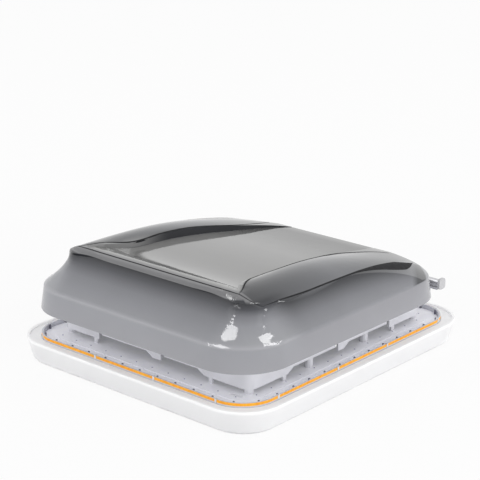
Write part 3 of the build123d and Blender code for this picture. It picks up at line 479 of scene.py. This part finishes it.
class DressLightStrip(bpy.types.Operator):
    """Phosphor sleeve, carrier and clips of the light strip"""

    bl_idname = "vent.light_strip"
    bl_label = "Light strip"

    def execute(self, context):
        # Silicone sleeve filled with amber phosphor, extruded: saturated and satin on its sides,
        # pale along its top and below the plate's level, where there is no phosphor
        looks = context.scene.vent_finishes
        made, tree = finish("Amber silicone sleeve, extruded")
        deep = [looks.strip[0] * 0.86, looks.strip[1] * 0.74, looks.strip[2] * 0.7, 1.0]
        _, bump, tone = grain(tree, 4.0, 0.05, tones=(looks.strip, deep))
        coords = add(tree, "ShaderNodeTexCoord")
        height, up = (
            add(tree, "ShaderNodeSeparateXYZ", {"Vector": coords.outputs[name]}).outputs["Z"]
            for name in ("Object", "Normal")
        )
        above, upright = (
            add(tree, "ShaderNodeMapRange", {"Value": value, "From Min": low, "From Max": high})
            for value, low, high in ((height, 35.1 * MM, 35.5 * MM), (up, 0.7, 0.4))
        )
        amber = add(tree, "ShaderNodeMath", {0: above, 1: upright}, operation="MULTIPLY")
        # Light bouncing off the sleeve sees it pale, so it throws no amber onto the rim
        rays = add(tree, "ShaderNodeLightPath")
        spared = add(tree, "ShaderNodeMapRange", {
            "Value": rays.outputs["Is Diffuse Ray"],
            "To Min": 1.0,
            "To Max": 0.0,
        })
        shown = add(tree, "ShaderNodeMath", {0: amber, 1: spared}, operation="MULTIPLY")
        sleeve = add(
            tree, "ShaderNodeMix", {"Factor": shown, 6: "#d9d9de", 7: tone}, data_type="RGBA"
        )
        # Painted glow: a faint light of its own on the amber faces, brightening them
        glow = add(tree, "ShaderNodeMapRange", {"Value": shown, "To Max": 0.06})
        add(tree, "ShaderNodeBsdfPrincipled", {
            "Base Color": sleeve,
            "Roughness": 0.42,
            "IOR": 1.43,
            "Subsurface Weight": 0.2,
            "Subsurface Scale": 1 * MM,
            "Emission Color": looks.strip,
            "Emission Strength": glow,
            "Normal": bump,
        }, out="Surface")
        dress(made, "led_strip")
        # Flexible white circuit tape behind the sleeve: satin white with a faint cloth weave
        dress(moulded("White circuit tape", "#dcdce2", "#d2d2d8", 0.5, 2.0, 0.03), "strip_carrier")
        # Clear polycarbonate clips, moulded: pale and glossy against the amber sleeve
        dress(
            moulded("Clear polycarbonate, moulded", "#e6e6ea", "#dadade", 0.2, 2.5, 0.01),
            "strip_clips",
        )
        return {"FINISHED"}


class DressFasteners(bpy.types.Operator):
    """Clamp screws and the caps over their heads"""

    bl_idname = "vent.fasteners"
    bl_label = "Screws and caps"

    def execute(self, context):
        # Stainless steel, rolled thread: bright, with lines round the shank
        steel = drawn_metal("Stainless steel, rolled", "#c9c9cb", "#aeaeb2", 0.3, 1.5, (1, 1, 6))
        dress(steel, "clamp_screws")
        # White ABS caps, moulded: satin, to match the inner frame
        caps = moulded("White ABS caps, moulded", "#f0f0ee", "#e8e8e6", 0.35, 1.0, 0.02)
        dress(caps, "screw_caps")
        return {"FINISHED"}


class DressBlindParts(bpy.types.Operator):
    """Rails, pull bars and cassettes of the two blinds"""

    bl_idname = "vent.blind_parts"
    bl_label = "Blind bars and rails"

    def execute(self, context):
        # Rigid vinyl, extruded: smooth white with die lines along its length
        made, tree = finish("White vinyl, extruded")
        tones = ("#ebebe8", "#e2e2df")
        _, bump, tone = grain(tree, 2.0, 0.03, (0.05, 0.05, 1.0), 3.0, tones)
        add(tree, "ShaderNodeBsdfPrincipled", {
            "Base Color": tone,
            "Roughness": 0.33,
            "Normal": bump,
        }, out="Surface")
        dress(
            made, "blind_rail_left", "blind_rail_right", "flyscreen_cassette", "blackout_cassette"
        )
        # White ABS pull bars, moulded: a touch glossier where hands rub them
        bars = moulded("White ABS bars, moulded", "#f1f1ee", "#e7e7e4", 0.27, 1.8, 0.015)
        dress(bars, "flyscreen_bar", "blackout_bar")
        return {"FINISHED"}


class AddBlindCloths(bpy.types.Operator):
    """Pleated net and pleated blackout cloth, each between its cassette and its pull bar"""

    bl_idname = "vent.blind_cloths"
    bl_label = "Blind cloths"

    def net(self):
        """Polyester net, woven: open squares with dark threads, at 2.4 mm, not 1.2, to show."""
        made, tree = finish("Polyester net, woven")
        coords = add(tree, "ShaderNodeTexCoord")
        threads = []
        for direction in ("X", "Y"):
            wave = add(tree, "ShaderNodeTexWave", {
                "Vector": coords.outputs["UV"],
                "Scale": per_mm(2.4) / math.pi / 2,
            }, bands_direction=direction)
            feeds = {"Value": wave.outputs["Fac"], "From Min": 0.55, "From Max": 0.75}
            threads.append(add(tree, "ShaderNodeMapRange", feeds))
        both = add(tree, "ShaderNodeMath", {0: threads[0], 1: threads[1]}, operation="MAXIMUM")
        bump = add(tree, "ShaderNodeBump", {"Height": both, "Distance": 0.2 * MM})
        cover = add(tree, "ShaderNodeMapRange", {"Value": both, "To Min": 0.25, "To Max": 1.0})
        tone = add(
            tree, "ShaderNodeMix", {"Factor": both, 6: "#3b3c3f", 7: "#55565a"}, data_type="RGBA"
        )
        add(tree, "ShaderNodeBsdfPrincipled", {
            "Base Color": tone,
            "Roughness": 0.8,
            "Sheen Weight": 0.3,
            "Alpha": cover,
            "Normal": bump,
        }, out="Surface")
        return made

    def blackout(self):
        """Polyester cloth, woven and coated: cream, close weave with a soft sheen at the folds."""
        made, tree = finish("Coated polyester, woven")
        coords = add(tree, "ShaderNodeTexCoord")
        weave = add(tree, "ShaderNodeTexWave", {
            "Vector": coords.outputs["UV"],
            "Scale": per_mm(1.6) / math.pi / 2,
            "Distortion": 0.6,
        })
        tone = add(tree, "ShaderNodeMix", {
            "Factor": weave.outputs["Fac"],
            6: "#dcd8cc",
            7: "#e9e6dc",
        }, data_type="RGBA")
        bump = add(tree, "ShaderNodeBump", {"Height": weave.outputs["Fac"], "Distance": 0.15 * MM})
        add(tree, "ShaderNodeBsdfPrincipled", {
            "Base Color": tone,
            "Roughness": 0.72,
            "Sheen Weight": 0.4,
            "Normal": bump,
        }, out="Surface")
        return made

    def execute(self, context):
        sizes = context.scene.vent_sizes
        for blind, material in (("flyscreen", self.net()), ("blackout", self.blackout())):
            low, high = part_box(f"{blind}_pleats")
            gap = 0.2 * MM
            outer, inner = high.y - gap, low.y + gap
            if low.y + high.y < 0:
                outer, inner = inner, outer
            folds = 2 * sizes.cloth_pleats
            columns = 24
            mid, reach = (low.z + high.z) / 2, (high.z - low.z) / 2 - gap
            verts, faces, places = [], [], []
            for fold in range(folds + 1):
                y = outer + (inner - outer) * fold / folds
                z = mid + (reach if fold % 2 else -reach)
                for column in range(columns + 1):
                    x = sizes.cloth_half * (2 * column / columns - 1)
                    sway = 0.25 * MM * math.sin(9 * x / sizes.cloth_half + fold)
                    verts.append((x, y, z + sway * (0.5 if fold % 2 else -0.5)))
                    places.append((x, fold * 2 * reach))
            for fold in range(folds):
                for column in range(columns):
                    a = fold * (columns + 1) + column
                    faces.append((a, a + 1, a + columns + 2, a + columns + 1))
            cloth = piece(f"{blind}_cloth", verts, faces, None, material)
            layer = cloth.data.uv_layers.new(name="flat cloth")
            for loop in cloth.data.loops:
                layer.data[loop.index].uv = places[loop.vertex_index]
            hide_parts(f"{blind}_pleats")
            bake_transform(cloth)
        return {"FINISHED"}


class DressNeck(bpy.types.Operator):
    """Outer frame with its lugs, and the seal on its upstand"""

    bl_idname = "vent.neck"
    bl_label = "Neck and seal"

    def execute(self, context):
        # Polypropylene with talc, injection moulded: pale grey, satin, waxy, fine grain
        looks = context.scene.vent_finishes
        dark = [share * 0.92 for share in looks.neck[:3]] + [1.0]
        dress(
            moulded("Grey polypropylene, moulded", looks.neck, dark, 0.42, 1.6, 0.025),
            "outer_frame",
        )
        # EPDM rubber, extruded: near black and matt, with a dusty bloom
        dress(
            moulded("Black rubber, extruded", "#2b2c2e", "#222325", 0.75, 1.1, 0.05), "upstand_seal"
        )
        return {"FINISHED"}


class DressDome(bpy.types.Operator):
    """Smoked outer pane and clear inner pane of the dome"""

    bl_idname = "vent.dome"
    bl_label = "Dome"

    def soften(self, spot):
        """How far a point of the shell gives way: full on the front corner pillars, where the
        scoops run out, and nothing on the skirt, the lip and the roof."""
        share = 1.0
        for value, low, high in (
            (abs(spot.x), 130 * MM, 152 * MM),
            (-spot.y, 132 * MM, 158 * MM),
            (spot.z, 114 * MM, 124 * MM),
            (-spot.z, -163 * MM, -153 * MM),
        ):
            part = min(max((value - low) / (high - low), 0.0), 1.0)
            share *= part * part * (3 - 2 * part)
        return share

    def soften_corners(self, material):
        """The shell again, with the ends of its scoops drawn out into the front corners, as a
        heated sheet stretches over a mould, and with the lip's crest pressed down."""
        longest_edge, pull_reach, pull, passes = 6 * MM, 14 * MM, 0.7, 60
        crest_front, crest_half, crest_top, pressed_share = -158 * MM, 168 * MM, 171.6 * MM, 0.85
        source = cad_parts["dome_outer_pane"].data
        corners = KDTree(len(source.vertices))
        for vertex in source.vertices:
            corners.insert(vertex.co, vertex.index)
        corners.balance()
        normals = {}
        for loop in source.loops:
            normals.setdefault(loop.vertex_index, source.corner_normals[loop.index].vector.copy())
        shell = bmesh.new()
        shell.from_mesh(source)
        bmesh.ops.remove_doubles(shell, verts=shell.verts, dist=0.001 * MM)
        bmesh.ops.triangulate(shell, faces=shell.faces)
        for _ in range(10):
            long_edges = [
                edge
                for edge in shell.edges
                if edge.calc_length() > longest_edge
                and any(
                    self.soften(edge.verts[0].co.lerp(edge.verts[1].co, part / 6)) > 0.0
                    for part in range(7)
                )
            ]
            if not long_edges:
                break
            bmesh.ops.subdivide_edges(shell, edges=long_edges, cuts=1)
            bmesh.ops.triangulate(shell, faces=shell.faces)
        shares = ((vertex, self.soften(vertex.co)) for vertex in shell.verts)
        moving = [(vertex, share) for vertex, share in shares if share > 0.0]
        for _ in range(passes):
            steps = []
            for vertex, share in moving:
                around = [edge.other_vert(vertex).co for edge in vertex.link_edges]
                around = [spot for spot in around if (spot - vertex.co).length < pull_reach]
                middle = sum(around, vertex.co.copy()) / (len(around) + 1)
                steps.append(vertex.co.lerp(middle, pull * share))
            for (vertex, _), step in zip(moving, steps):
                vertex.co = step
        # The lip's crest is pressed down, towards the panel behind it
        for vertex in shell.verts:
            spot = vertex.co
            if spot.y < crest_front and abs(spot.x) < crest_half and spot.z > crest_top:
                pressed = min((crest_front - spot.y) / (12 * MM), 1.0) * pressed_share
                spot.z -= (spot.z - crest_top) * pressed
        mesh = bpy.data.meshes.new("dome_shell")
        shell.to_mesh(mesh)
        shell.free()
        mesh.materials.append(material)
        for polygon in mesh.polygons:
            polygon.use_smooth = True
        mesh.set_sharp_from_angle(angle=math.radians(35))
        # Where nothing moved, the shell keeps the model's own surface normals
        kept = [mesh.corner_normals[i].vector.copy() for i in range(len(mesh.loops))]
        for polygon in mesh.polygons:
            for at in polygon.loop_indices:
                spot = mesh.vertices[mesh.loops[at].vertex_index].co
                same = [
                    normals[index]
                    for _, index, _ in corners.find_range(spot, 0.005 * MM)
                    if index in normals
                ]
                if same:
                    kept[at] = max(same, key=polygon.normal.dot)
        mesh.normals_split_custom_set(kept)
        shown = bpy.data.objects.new("dome_shell", mesh)
        bpy.context.collection.objects.link(shown)
        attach(shown, "dome")
        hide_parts("dome_outer_pane")

    def execute(self, context):
        # Smoked acrylic, vacuum formed over a mould: grey in the mass and glossy; painted shade
        # makes it deeper in tone under the lip and the arches, and it is paler where it lies flat
        looks = context.scene.vent_finishes
        skirt, shade = looks.dome_skirt, looks.dome_shade
        made, tree = finish("Smoked acrylic, vacuum formed")
        coords = add(tree, "ShaderNodeTexCoord")
        x, y, z = add(tree, "ShaderNodeSeparateXYZ", {"Vector": coords.outputs["Object"]}).outputs
        facing = add(tree, "ShaderNodeSeparateXYZ", {"Vector": coords.outputs["Normal"]}).outputs
        side, out_x, out_y = (
            add(tree, "ShaderNodeMath", {0: way}, operation="ABSOLUTE")
            for way in (x, facing["X"], facing["Y"])
        )
        rise, along, spread = (
            add(tree, "ShaderNodeMapRange", {"Value": value, "From Min": low, "From Max": high})
            for value, low, high in (
                (z, 80 * MM, 186 * MM),
                (y, -DOME_HALF_LENGTH, DOME_HALF_LENGTH),
                (side, 0.0, DOME_HALF_WIDTH),
            )
        )
        arch, ridge, edge = (
            add(tree, "ShaderNodeFloatCurve", {"Value": along}, curve=line)
            for line in (ARCH_LINE, RIDGE_LINE, EDGE_LINE)
        )
        # How far up a flank's scoop, from its foot to the arch above it; whether front or flank;
        # how far out from the ridge and from the edge line
        foot = 0.30
        above, span, turned, outside, beyond = (
            add(tree, "ShaderNodeMath", {0: first, 1: second}, operation="SUBTRACT")
            for first, second in (
                (rise, foot),
                (arch, foot),
                (out_x, out_y),
                (spread, ridge),
                (spread, edge),
            )
        )
        depth = add(tree, "ShaderNodeMath", {0: above, 1: span}, operation="DIVIDE")
        sign = add(tree, "ShaderNodeMath", {0: x}, operation="SIGN")
        inward = add(tree, "ShaderNodeMath", {0: sign, 1: facing["X"]}, operation="MULTIPLY")
        slant = add(tree, "ShaderNodeMath", {0: side, 1: 1.28, 2: y}, operation="MULTIPLY_ADD")
        # Walls: below the moulded line, ahead of the lip and under it, in a flank's scoop
        pocket, ahead, low, front_y, front_z, scoop_x, scoop_y = (
            add(tree, "ShaderNodeMapRange", {"Value": value, "From Min": start, "From Max": end})
            for value, start, end in (
                (depth, -1.0, 1.5),
                (y, -180 * MM, -183 * MM),
                (z, 114 * MM, 113 * MM),
                (y, -191 * MM, -192.5 * MM),
                (rise, 0.837, 0.829),
                (beyond, -0.012, -0.004),
                (slant, 417 * MM, 403 * MM),
            )
        )
        walls = low
        for first, second in ((front_y, front_z), (scoop_x, scoop_y)):
            both = add(tree, "ShaderNodeMath", {0: first, 1: second}, operation="MULTIPLY")
            walls = add(tree, "ShaderNodeMath", {0: walls, 1: both}, operation="MAXIMUM")
        roof = add(tree, "ShaderNodeMapRange", {"Value": walls, "To Min": 1.0, "To Max": 0.0})
        # From front wall to flank, from panel to wing, on a wing's inner face, towards the back
        # where that face takes painted shade, and three for the front corner pillars
        to_flank, to_wing, inner_face, behind, *pillar_limits = (
            add(tree, "ShaderNodeMapRange", {
                "Value": value,
                "From Min": start,
                "From Max": end,
            }, interpolation_type="SMOOTHSTEP")
            for value, start, end in (
                (turned, -0.25, 0.25),
                (outside, -0.012, 0.004),
                (inward, -0.1, -0.35),
                (y, -125 * MM, -35 * MM),
                (side, 138 * MM, 168 * MM),
                (y, -112 * MM, -168 * MM),
                (z, 166 * MM, 161 * MM),
            )
        )
        pillars = 1.0
        for part in pillar_limits:
            pillars = add(tree, "ShaderNodeMath", {0: pillars, 1: part}, operation="MULTIPLY")
        # Tones, with painted shade deepening up each wall towards the lip and the arches: the front
        # wall and the corner pillars by height, with a lighter line at the skirt's top, the flanks
        # by how far up the scoop, the wings and the panel by length
        low_tones = ((0.0, skirt), (0.29, "#999a9f"), (0.32, "#a6a6ab"))
        front_tones = (
            *low_tones, (0.36, "#919297"), (0.55, "#7f8085"), (0.70, "#54555a"), (0.81, shade),
            (0.835, "#838386"),
        )
        pillar_tones = (
            *low_tones, (0.36, "#999a9e"), (0.52, "#8e8f94"), (0.62, "#75767b"), (0.70, "#434449"),
            (0.76, shade),
        )
        flank_tones = (
            (0.0, skirt), (0.38, "#95959a"), (0.42, "#8c8d92"), (0.56, "#77787d"),
            (0.65, "#5e5f63"), (0.73, "#3f4044"), (0.78, shade),
        )
        front, pillar, flank, wing, panel = (
            add(tree, "ShaderNodeValToRGB", {"Fac": place}, stops=stops)
            for place, stops in (
                (rise, front_tones),
                (rise, pillar_tones),
                (pocket, flank_tones),
                (along, ((0.12, "#3e3f42"), (0.5, looks.dome_wing), (0.9, "#3e3f42"))),
                (along, ((0.6, looks.dome_panel), (0.92, "#414141"))),
            )
        )
        # Layers, each over what came before: the flanks on the walls, the wings and their inner
        # faces on the roof, those faces in painted shade towards the back, the roof over the walls,
        # the lip's middle tone, the corner pillars
        wall, top, face = (
            add(tree, "ShaderNodeMix", {"Factor": share, 6: first, 7: second}, data_type="RGBA")
            for share, first, second in (
                (to_flank, front, flank),
                (to_wing, panel, wing),
                (behind, "#8c8c8c", shade),
            )
        )
        top = add(tree, "ShaderNodeMix", {"Factor": inner_face, 6: top, 7: face}, data_type="RGBA")
        dome = add(tree, "ShaderNodeMix", {"Factor": roof, 6: wall, 7: top}, data_type="RGBA")
        lip = add(tree, "ShaderNodeMix", {"Factor": ahead, 6: dome, 7: "#737375"}, data_type="RGBA")
        for share, layer in ((roof, lip), (pillars, pillar)):
            dome = add(
                tree, "ShaderNodeMix", {"Factor": share, 6: dome, 7: layer}, data_type="RGBA"
            )
        # Slow unevenness of a formed sheet: tone drifts a little, and the gloss ripples
        drift, ripple, _ = grain(tree, 70.0, 0.25, detail=3.0)
        drifted = add(tree, "ShaderNodeMapRange", {"Value": drift, "To Min": 0.93, "To Max": 1.05})
        toned = add(tree, "ShaderNodeVectorMath", {0: dome, 1: drifted}, operation="MULTIPLY")
        add(tree, "ShaderNodeBsdfPrincipled", {
            "Base Color": toned,
            "Roughness": 0.07,
            "IOR": 1.49,
            "Normal": ripple,
        }, out="Surface")
        dress(made, "dome_outer_pane")
        self.soften_corners(made)
        # Clear acrylic, vacuum formed: see-through and glossy, with a faint cool edge
        made, tree = finish("Clear acrylic, vacuum formed")
        add(tree, "ShaderNodeBsdfPrincipled", {
            "Base Color": "#e4eaec",
            "Roughness": 0.04,
            "IOR": 1.49,
            "Transmission Weight": 0.9,
            "Normal": grain(tree, 60.0, 0.2)[1],
        }, out="Surface")
        dress(made, "dome_inner_pane")
        return {"FINISHED"}


class AddPaintedCreaseShade(bpy.types.Operator):
    """Painted shade: dark lines along the creases of the dome"""

    bl_idname = "vent.creases"
    bl_label = "Painted dome crease shade"

    def drawn_line(self, points, samples):
        """Even points on a smooth curve through a line's points."""
        ordered = sorted(points)
        made = []
        for at in range(samples + 1):
            place = ordered[0][0] + (ordered[-1][0] - ordered[0][0]) * at / samples
            for left in range(len(ordered) - 1):
                if place <= ordered[left + 1][0] or left == len(ordered) - 2:
                    break
            before = ordered[max(left - 1, 0)]
            start, end = ordered[left], ordered[left + 1]
            after = ordered[min(left + 2, len(ordered) - 1)]
            run = end[0] - start[0]
            part = (place - start[0]) / run
            rise_in = (end[1] - before[1]) / (end[0] - before[0]) * run
            rise_out = (after[1] - start[1]) / (after[0] - start[0]) * run
            height = (
                (2 * part**3 - 3 * part**2 + 1) * start[1]
                + (part**3 - 2 * part**2 + part) * rise_in
                + (3 * part**2 - 2 * part**3) * end[1]
                + (part**3 - part**2) * rise_out
            )
            made.append((place, height))
        return made

    def ribbon(self, skin, path, verts, faces):
        """A flat line laid on the skin along a path seen from above, given with the line's width at
        each point, tapering to both ends."""
        edge_rise, rise, reach = 0.12 * MM, 0.26 * MM, 3 * MM
        columns = (-0.5, -0.3, -0.1, 0.1, 0.3, 0.5)
        spots = []
        for x, y, width in path:
            hit = skin.ray_cast(Vector((x, y, 0.3)), Vector((0, 0, -1)))
            if hit[0] is not None:
                spots.append((hit[0], hit[1], width))
        first, last = len(verts), len(spots) - 1
        for at, (spot, normal, width) in enumerate(spots):
            ahead = spots[min(at + 1, last)][0] - spots[max(at - 1, 0)][0]
            across = ahead.cross(normal).normalized()
            taper = min(1.0, 0.15 + 6 * at / last, 0.15 + 6 * (last - at) / last)
            for side in columns:
                beside = spot + across * (side * width * taper)
                hit = skin.ray_cast(beside + normal * reach, -normal, 8 * MM)
                base = beside if hit[0] is None else hit[0]
                verts.append(base + normal * (edge_rise if abs(side) == 0.5 else rise))
        wide = len(columns)
        for at in range(last):
            for side in range(wide - 1):
                a = first + wide * at + side
                faces.append((a, a + 1, a + wide + 1, a + wide))

    def execute(self, context):
        # Painted shade laid along the dome's creases, where two faces of the sheet meet: near black
        # and matt
        made, tree = finish("Painted shade along the dome's creases")
        _, bump, tone = grain(tree, 8.0, 0.05, tones=("#242427", "#19191b"))
        add(tree, "ShaderNodeBsdfPrincipled", {
            "Base Color": tone,
            "Roughness": 0.6,
            "Specular IOR Level": 0.1,
            "Normal": bump,
        }, out="Surface")
        skin = surface_of("dome_shell")
        verts, faces = [], []
        # Line, its start and end along the dome, width, how far outboard as a share of the half
        # width, and how much wider it swells towards the back
        # All are painted shade; the edge line swells towards the back into a wide band of painted
        # shade below the flanks' arch edges
        lines = (
            (RIDGE_LINE, 0.075, 0.95, 3.6 * MM, 0.009, 0.0),
            (EDGE_LINE, 0.115, 0.95, 2.4 * MM, -0.004, 21.0 * MM),
        )
        for points, start, end, width, outward, wider in lines:
            path = []
            for along, share in self.drawn_line(points, 160):
                if start <= along <= end:
                    swell = wider * math.sin(math.pi * (max(along - 0.5, 0.0) / 0.45) ** 2.4)
                    x = (share + outward) * DOME_HALF_WIDTH + swell / 2
                    path.append((x, (2 * along - 1) * DOME_HALF_LENGTH, width + swell))
            for hand in (-1, 1):
                self.ribbon(skin, [(hand * x, y, w) for x, y, w in path], verts, faces)
        half = [
            (share * DOME_HALF_WIDTH, (2 * along - 1) * DOME_HALF_LENGTH, 3.6 * MM)
            for share, along in self.drawn_line(FRONT_LINE, 60)
        ]
        front = [(-x, y, width) for x, y, width in reversed(half)] + half[1:]
        self.ribbon(skin, front, verts, faces)
        piece("dome_crease_shade_painted", verts, faces, "dome", made, smooth=True)
        return {"FINISHED"}


class DressHinge(bpy.types.Operator):
    """Rail, leaf, pin and end caps of the hinge"""

    bl_idname = "vent.hinge"
    bl_label = "Hinge"

    def execute(self, context):
        # Aluminium, extruded and anodised: pale silver, satin, with die lines along its length
        rail = drawn_metal(
            "Anodised aluminium, extruded", "#cfcfd1", "#bcbcc0", 0.34, 1.2, (0.02, 1, 1)
        )
        dress(rail, "hinge_rail", "hinge_leaf")
        # Stainless steel rod, drawn
        pin = drawn_metal("Stainless rod, drawn", "#c4c4c6", "#a9a9ad", 0.24, 1.0, (0.05, 1, 1))
        dress(pin, "hinge_pin")
        # Nylon end caps, moulded: light grey and satin
        caps = moulded("Grey nylon, moulded", "#c6c6c8", "#bababd", 0.4, 1.2, 0.02)
        dress(caps, "hinge_cap_left", "hinge_cap_right")
        return {"FINISHED"}


class DressBow(bpy.types.Operator):
    """Bow lever with its grip, pins, brackets and guides"""

    bl_idname = "vent.bow"
    bl_label = "Bow"

    def execute(self, context):
        # Glass-filled nylon, moulded: charcoal, dry-looking, with a faint flow grain
        nylon = moulded("Glass-filled nylon, moulded", "#3c3d40", "#303134", 0.5, 1.5, 0.04)
        dress(
            nylon,
            "bow_lever",
            "bow_bracket_left",
            "bow_bracket_right",
            "bow_guide_left",
            "bow_guide_right",
        )
        # Soft grip rubber, overmoulded: matt and darker than the bow
        grip = moulded("Soft grip rubber, overmoulded", "#26272a", "#1e1f21", 0.82, 1.8, 0.12)
        dress(grip, "bow_grip")
        # Stainless pins, turned
        pins = drawn_metal("Stainless pins, turned", "#cbcbcd", "#b0b0b4", 0.2, 0.8, (4, 1, 1))
        dress(pins, "bow_pivot_pins", "bow_slide_pins")
        return {"FINISHED"}


class DressCatches(bpy.types.Operator):
    """Turn catches that hold the bow shut"""

    bl_idname = "vent.catches"
    bl_label = "Catches"

    def execute(self, context):
        # Acetal, moulded: mid grey, slippery and slightly glossy
        acetal = moulded("Grey acetal, moulded", "#8f9094", "#838489", 0.3, 1.4, 0.015)
        dress(acetal, "lock_catch_left", "lock_catch_right")
        return {"FINISHED"}


class SetStage(bpy.types.Operator):
    """Pale floor, white surround, soft lamps and the camera"""

    bl_idname = "vent.stage"
    bl_label = "Stage"

    def execute(self, context):
        scene = context.scene
        studio = scene.vent_studio
        # Matt white paper sweep: keeps the vent's shadow, and reads as white to eye and gloss alike
        made, tree = finish("White paper floor")
        _, bump, tone = grain(tree, 4.0, 0.05, tones=("#f8f8f8", "#f5f5f5"))
        paper = add(
            tree, "ShaderNodeBsdfDiffuse", {"Color": tone, "Roughness": 0.9, "Normal": bump}
        )
        glow = add(tree, "ShaderNodeEmission")
        feeds = {0: self.seen(tree), 1: studio.floor_glow}
        share = add(tree, "ShaderNodeMath", feeds, operation="MULTIPLY")
        add(tree, "ShaderNodeMixShader", {0: share, 1: paper, 2: glow}, out="Surface")
        half = studio.floor_half
        steps = 12
        verts = [
            (half * (2 * i / steps - 1), half * (2 * j / steps - 1), -0.3 * MM)
            for j in range(steps + 1)
            for i in range(steps + 1)
        ]
        faces = [
            (a, a + 1, a + steps + 2, a + steps + 1)
            for a in (j * (steps + 1) + i for j in range(steps) for i in range(steps))
        ]
        floor = piece("studio_floor", verts, faces, None, made)
        # Even surround: white to the eye and to gloss, a little lower as light on the vent
        world = scene.world = bpy.data.worlds.new("Studio surround")
        world.use_nodes = True
        tree = world.node_tree
        tree.nodes.clear()
        level = add(
            tree, "ShaderNodeMapRange", {"Value": self.seen(tree), "To Min": studio.surround}
        )
        sky = add(tree, "ShaderNodeBackground", {"Color": (1, 1, 1, 1), "Strength": level})
        add(tree, "ShaderNodeOutputWorld", {"Surface": sky})
        # Soft boxes: name, place, aim, width, height, power
        boxes = (
            ("key_box", (-0.9, -2.1, 1.9), (0.0, -0.05, 0.08), 1.1, 1.3, 2.6),
            ("side_box", (2.2, 0.2, 1.7), (0.05, 0.0, 0.08), 1.1, 1.3, 2.4),
            ("top_box", (0.0, 0.6, 2.6), (0.0, 0.0, 0.1), 2.0, 2.0, 1.5),
            ("low_front_box", (-0.6, -2.6, 0.3), (0.0, -0.2, 0.05), 1.8, 0.5, 11.0),
            ("low_side_box", (2.6, 0.5, 0.3), (0.2, 0.0, 0.05), 1.8, 0.5, 19.0),
            ("left_window_box", (-0.38, -1.07, 2.08), (0.165, -0.215, 0.13), 0.9, 0.7, 20.0),
            ("right_window_box", (0.99, 0.79, 1.93), (0.2, -0.185, 0.128), 0.7, 0.7, 15.5),
        )
        for name, place, aim, width, height, power in boxes:
            lamp = bpy.data.lights.new(name, "AREA")
            lamp.shape = "RECTANGLE"
            lamp.size, lamp.size_y, lamp.energy = width, height, power
            obj = bpy.data.objects.new(name, lamp)
            context.collection.objects.link(obj)
            obj.location = place
            way = Vector(aim) - Vector(place)
            obj.rotation_euler = way.to_track_quat("-Z", "Y").to_euler()
            # The window boxes are only there to be mirrored in the dome's near corner
            obj.visible_diffuse = "window" not in name
        # Camera on the photograph's line of sight, everything in focus
        eye = bpy.data.cameras.new("photo_camera")
        eye.sensor_width, eye.lens = 36.0, studio.lens
        eye.clip_start, eye.clip_end = 0.05, 40.0
        camera = bpy.data.objects.new("photo_camera", eye)
        context.collection.objects.link(camera)
        camera.location = studio.camera_place
        camera.rotation_euler = (math.pi / 2 - studio.elevation, 0.0, studio.azimuth)
        scene.camera = camera
        scene.view_settings.view_transform = "Standard"
        return {"FINISHED"}

    def seen(self, tree):
        """One where the eye, a gloss or a clear body looks, nought for light on things."""
        rays = add(tree, "ShaderNodeLightPath").outputs
        total = rays["Is Camera Ray"]
        for name in ("Is Glossy Ray", "Is Transmission Ray"):
            total = add(tree, "ShaderNodeMath", {0: total, 1: rays[name]}, operation="MAXIMUM")
        return total


PIECES = (
    DressLitRim,
    DressInnerFrame,
    AddPlatePips,
    DressLightStrip,
    DressFasteners,
    DressBlindParts,
    AddBlindCloths,
    DressNeck,
    DressDome,
    AddPaintedCreaseShade,
    DressHinge,
    DressBow,
    DressCatches,
    SetStage,
)


class VentPanel(bpy.types.Panel):
    """Lists the vent's pieces, finishes and studio"""

    bl_idname = "VIEW3D_PT_vent"
    bl_label = "Roof vent"
    bl_space_type = "VIEW_3D"
    bl_region_type = "UI"
    bl_category = "Roof vent"

    def draw(self, context):
        column = self.layout.column()
        for step in PIECES:
            column.operator(step.bl_idname)
        for group in ("vent_finishes", "vent_sizes", "vent_studio"):
            settings = getattr(context.scene, group)
            box = self.layout.box()
            for name in settings.__annotations__:
                box.prop(settings, name)


CLASSES = (VentFinishes, VentSizes, VentStudio, *PIECES, VentPanel)


def register():
    """Registers the classes and their settings on the scene."""
    for made in CLASSES:
        bpy.utils.register_class(made)
    bpy.types.Scene.vent_finishes = bpy.props.PointerProperty(type=VentFinishes)
    bpy.types.Scene.vent_sizes = bpy.props.PointerProperty(type=VentSizes)
    bpy.types.Scene.vent_studio = bpy.props.PointerProperty(type=VentStudio)


def unregister():
    """Takes the settings and the classes away again."""
    del bpy.types.Scene.vent_studio
    del bpy.types.Scene.vent_sizes
    del bpy.types.Scene.vent_finishes
    for made in reversed(CLASSES):
        bpy.utils.unregister_class(made)


def main():
    """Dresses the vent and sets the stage."""
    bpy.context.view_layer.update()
    register()
    for step in PIECES:
        group, name = step.bl_idname.split(".")
        getattr(getattr(bpy.ops, group), name)()


if __name__ == "__main__":
    main()
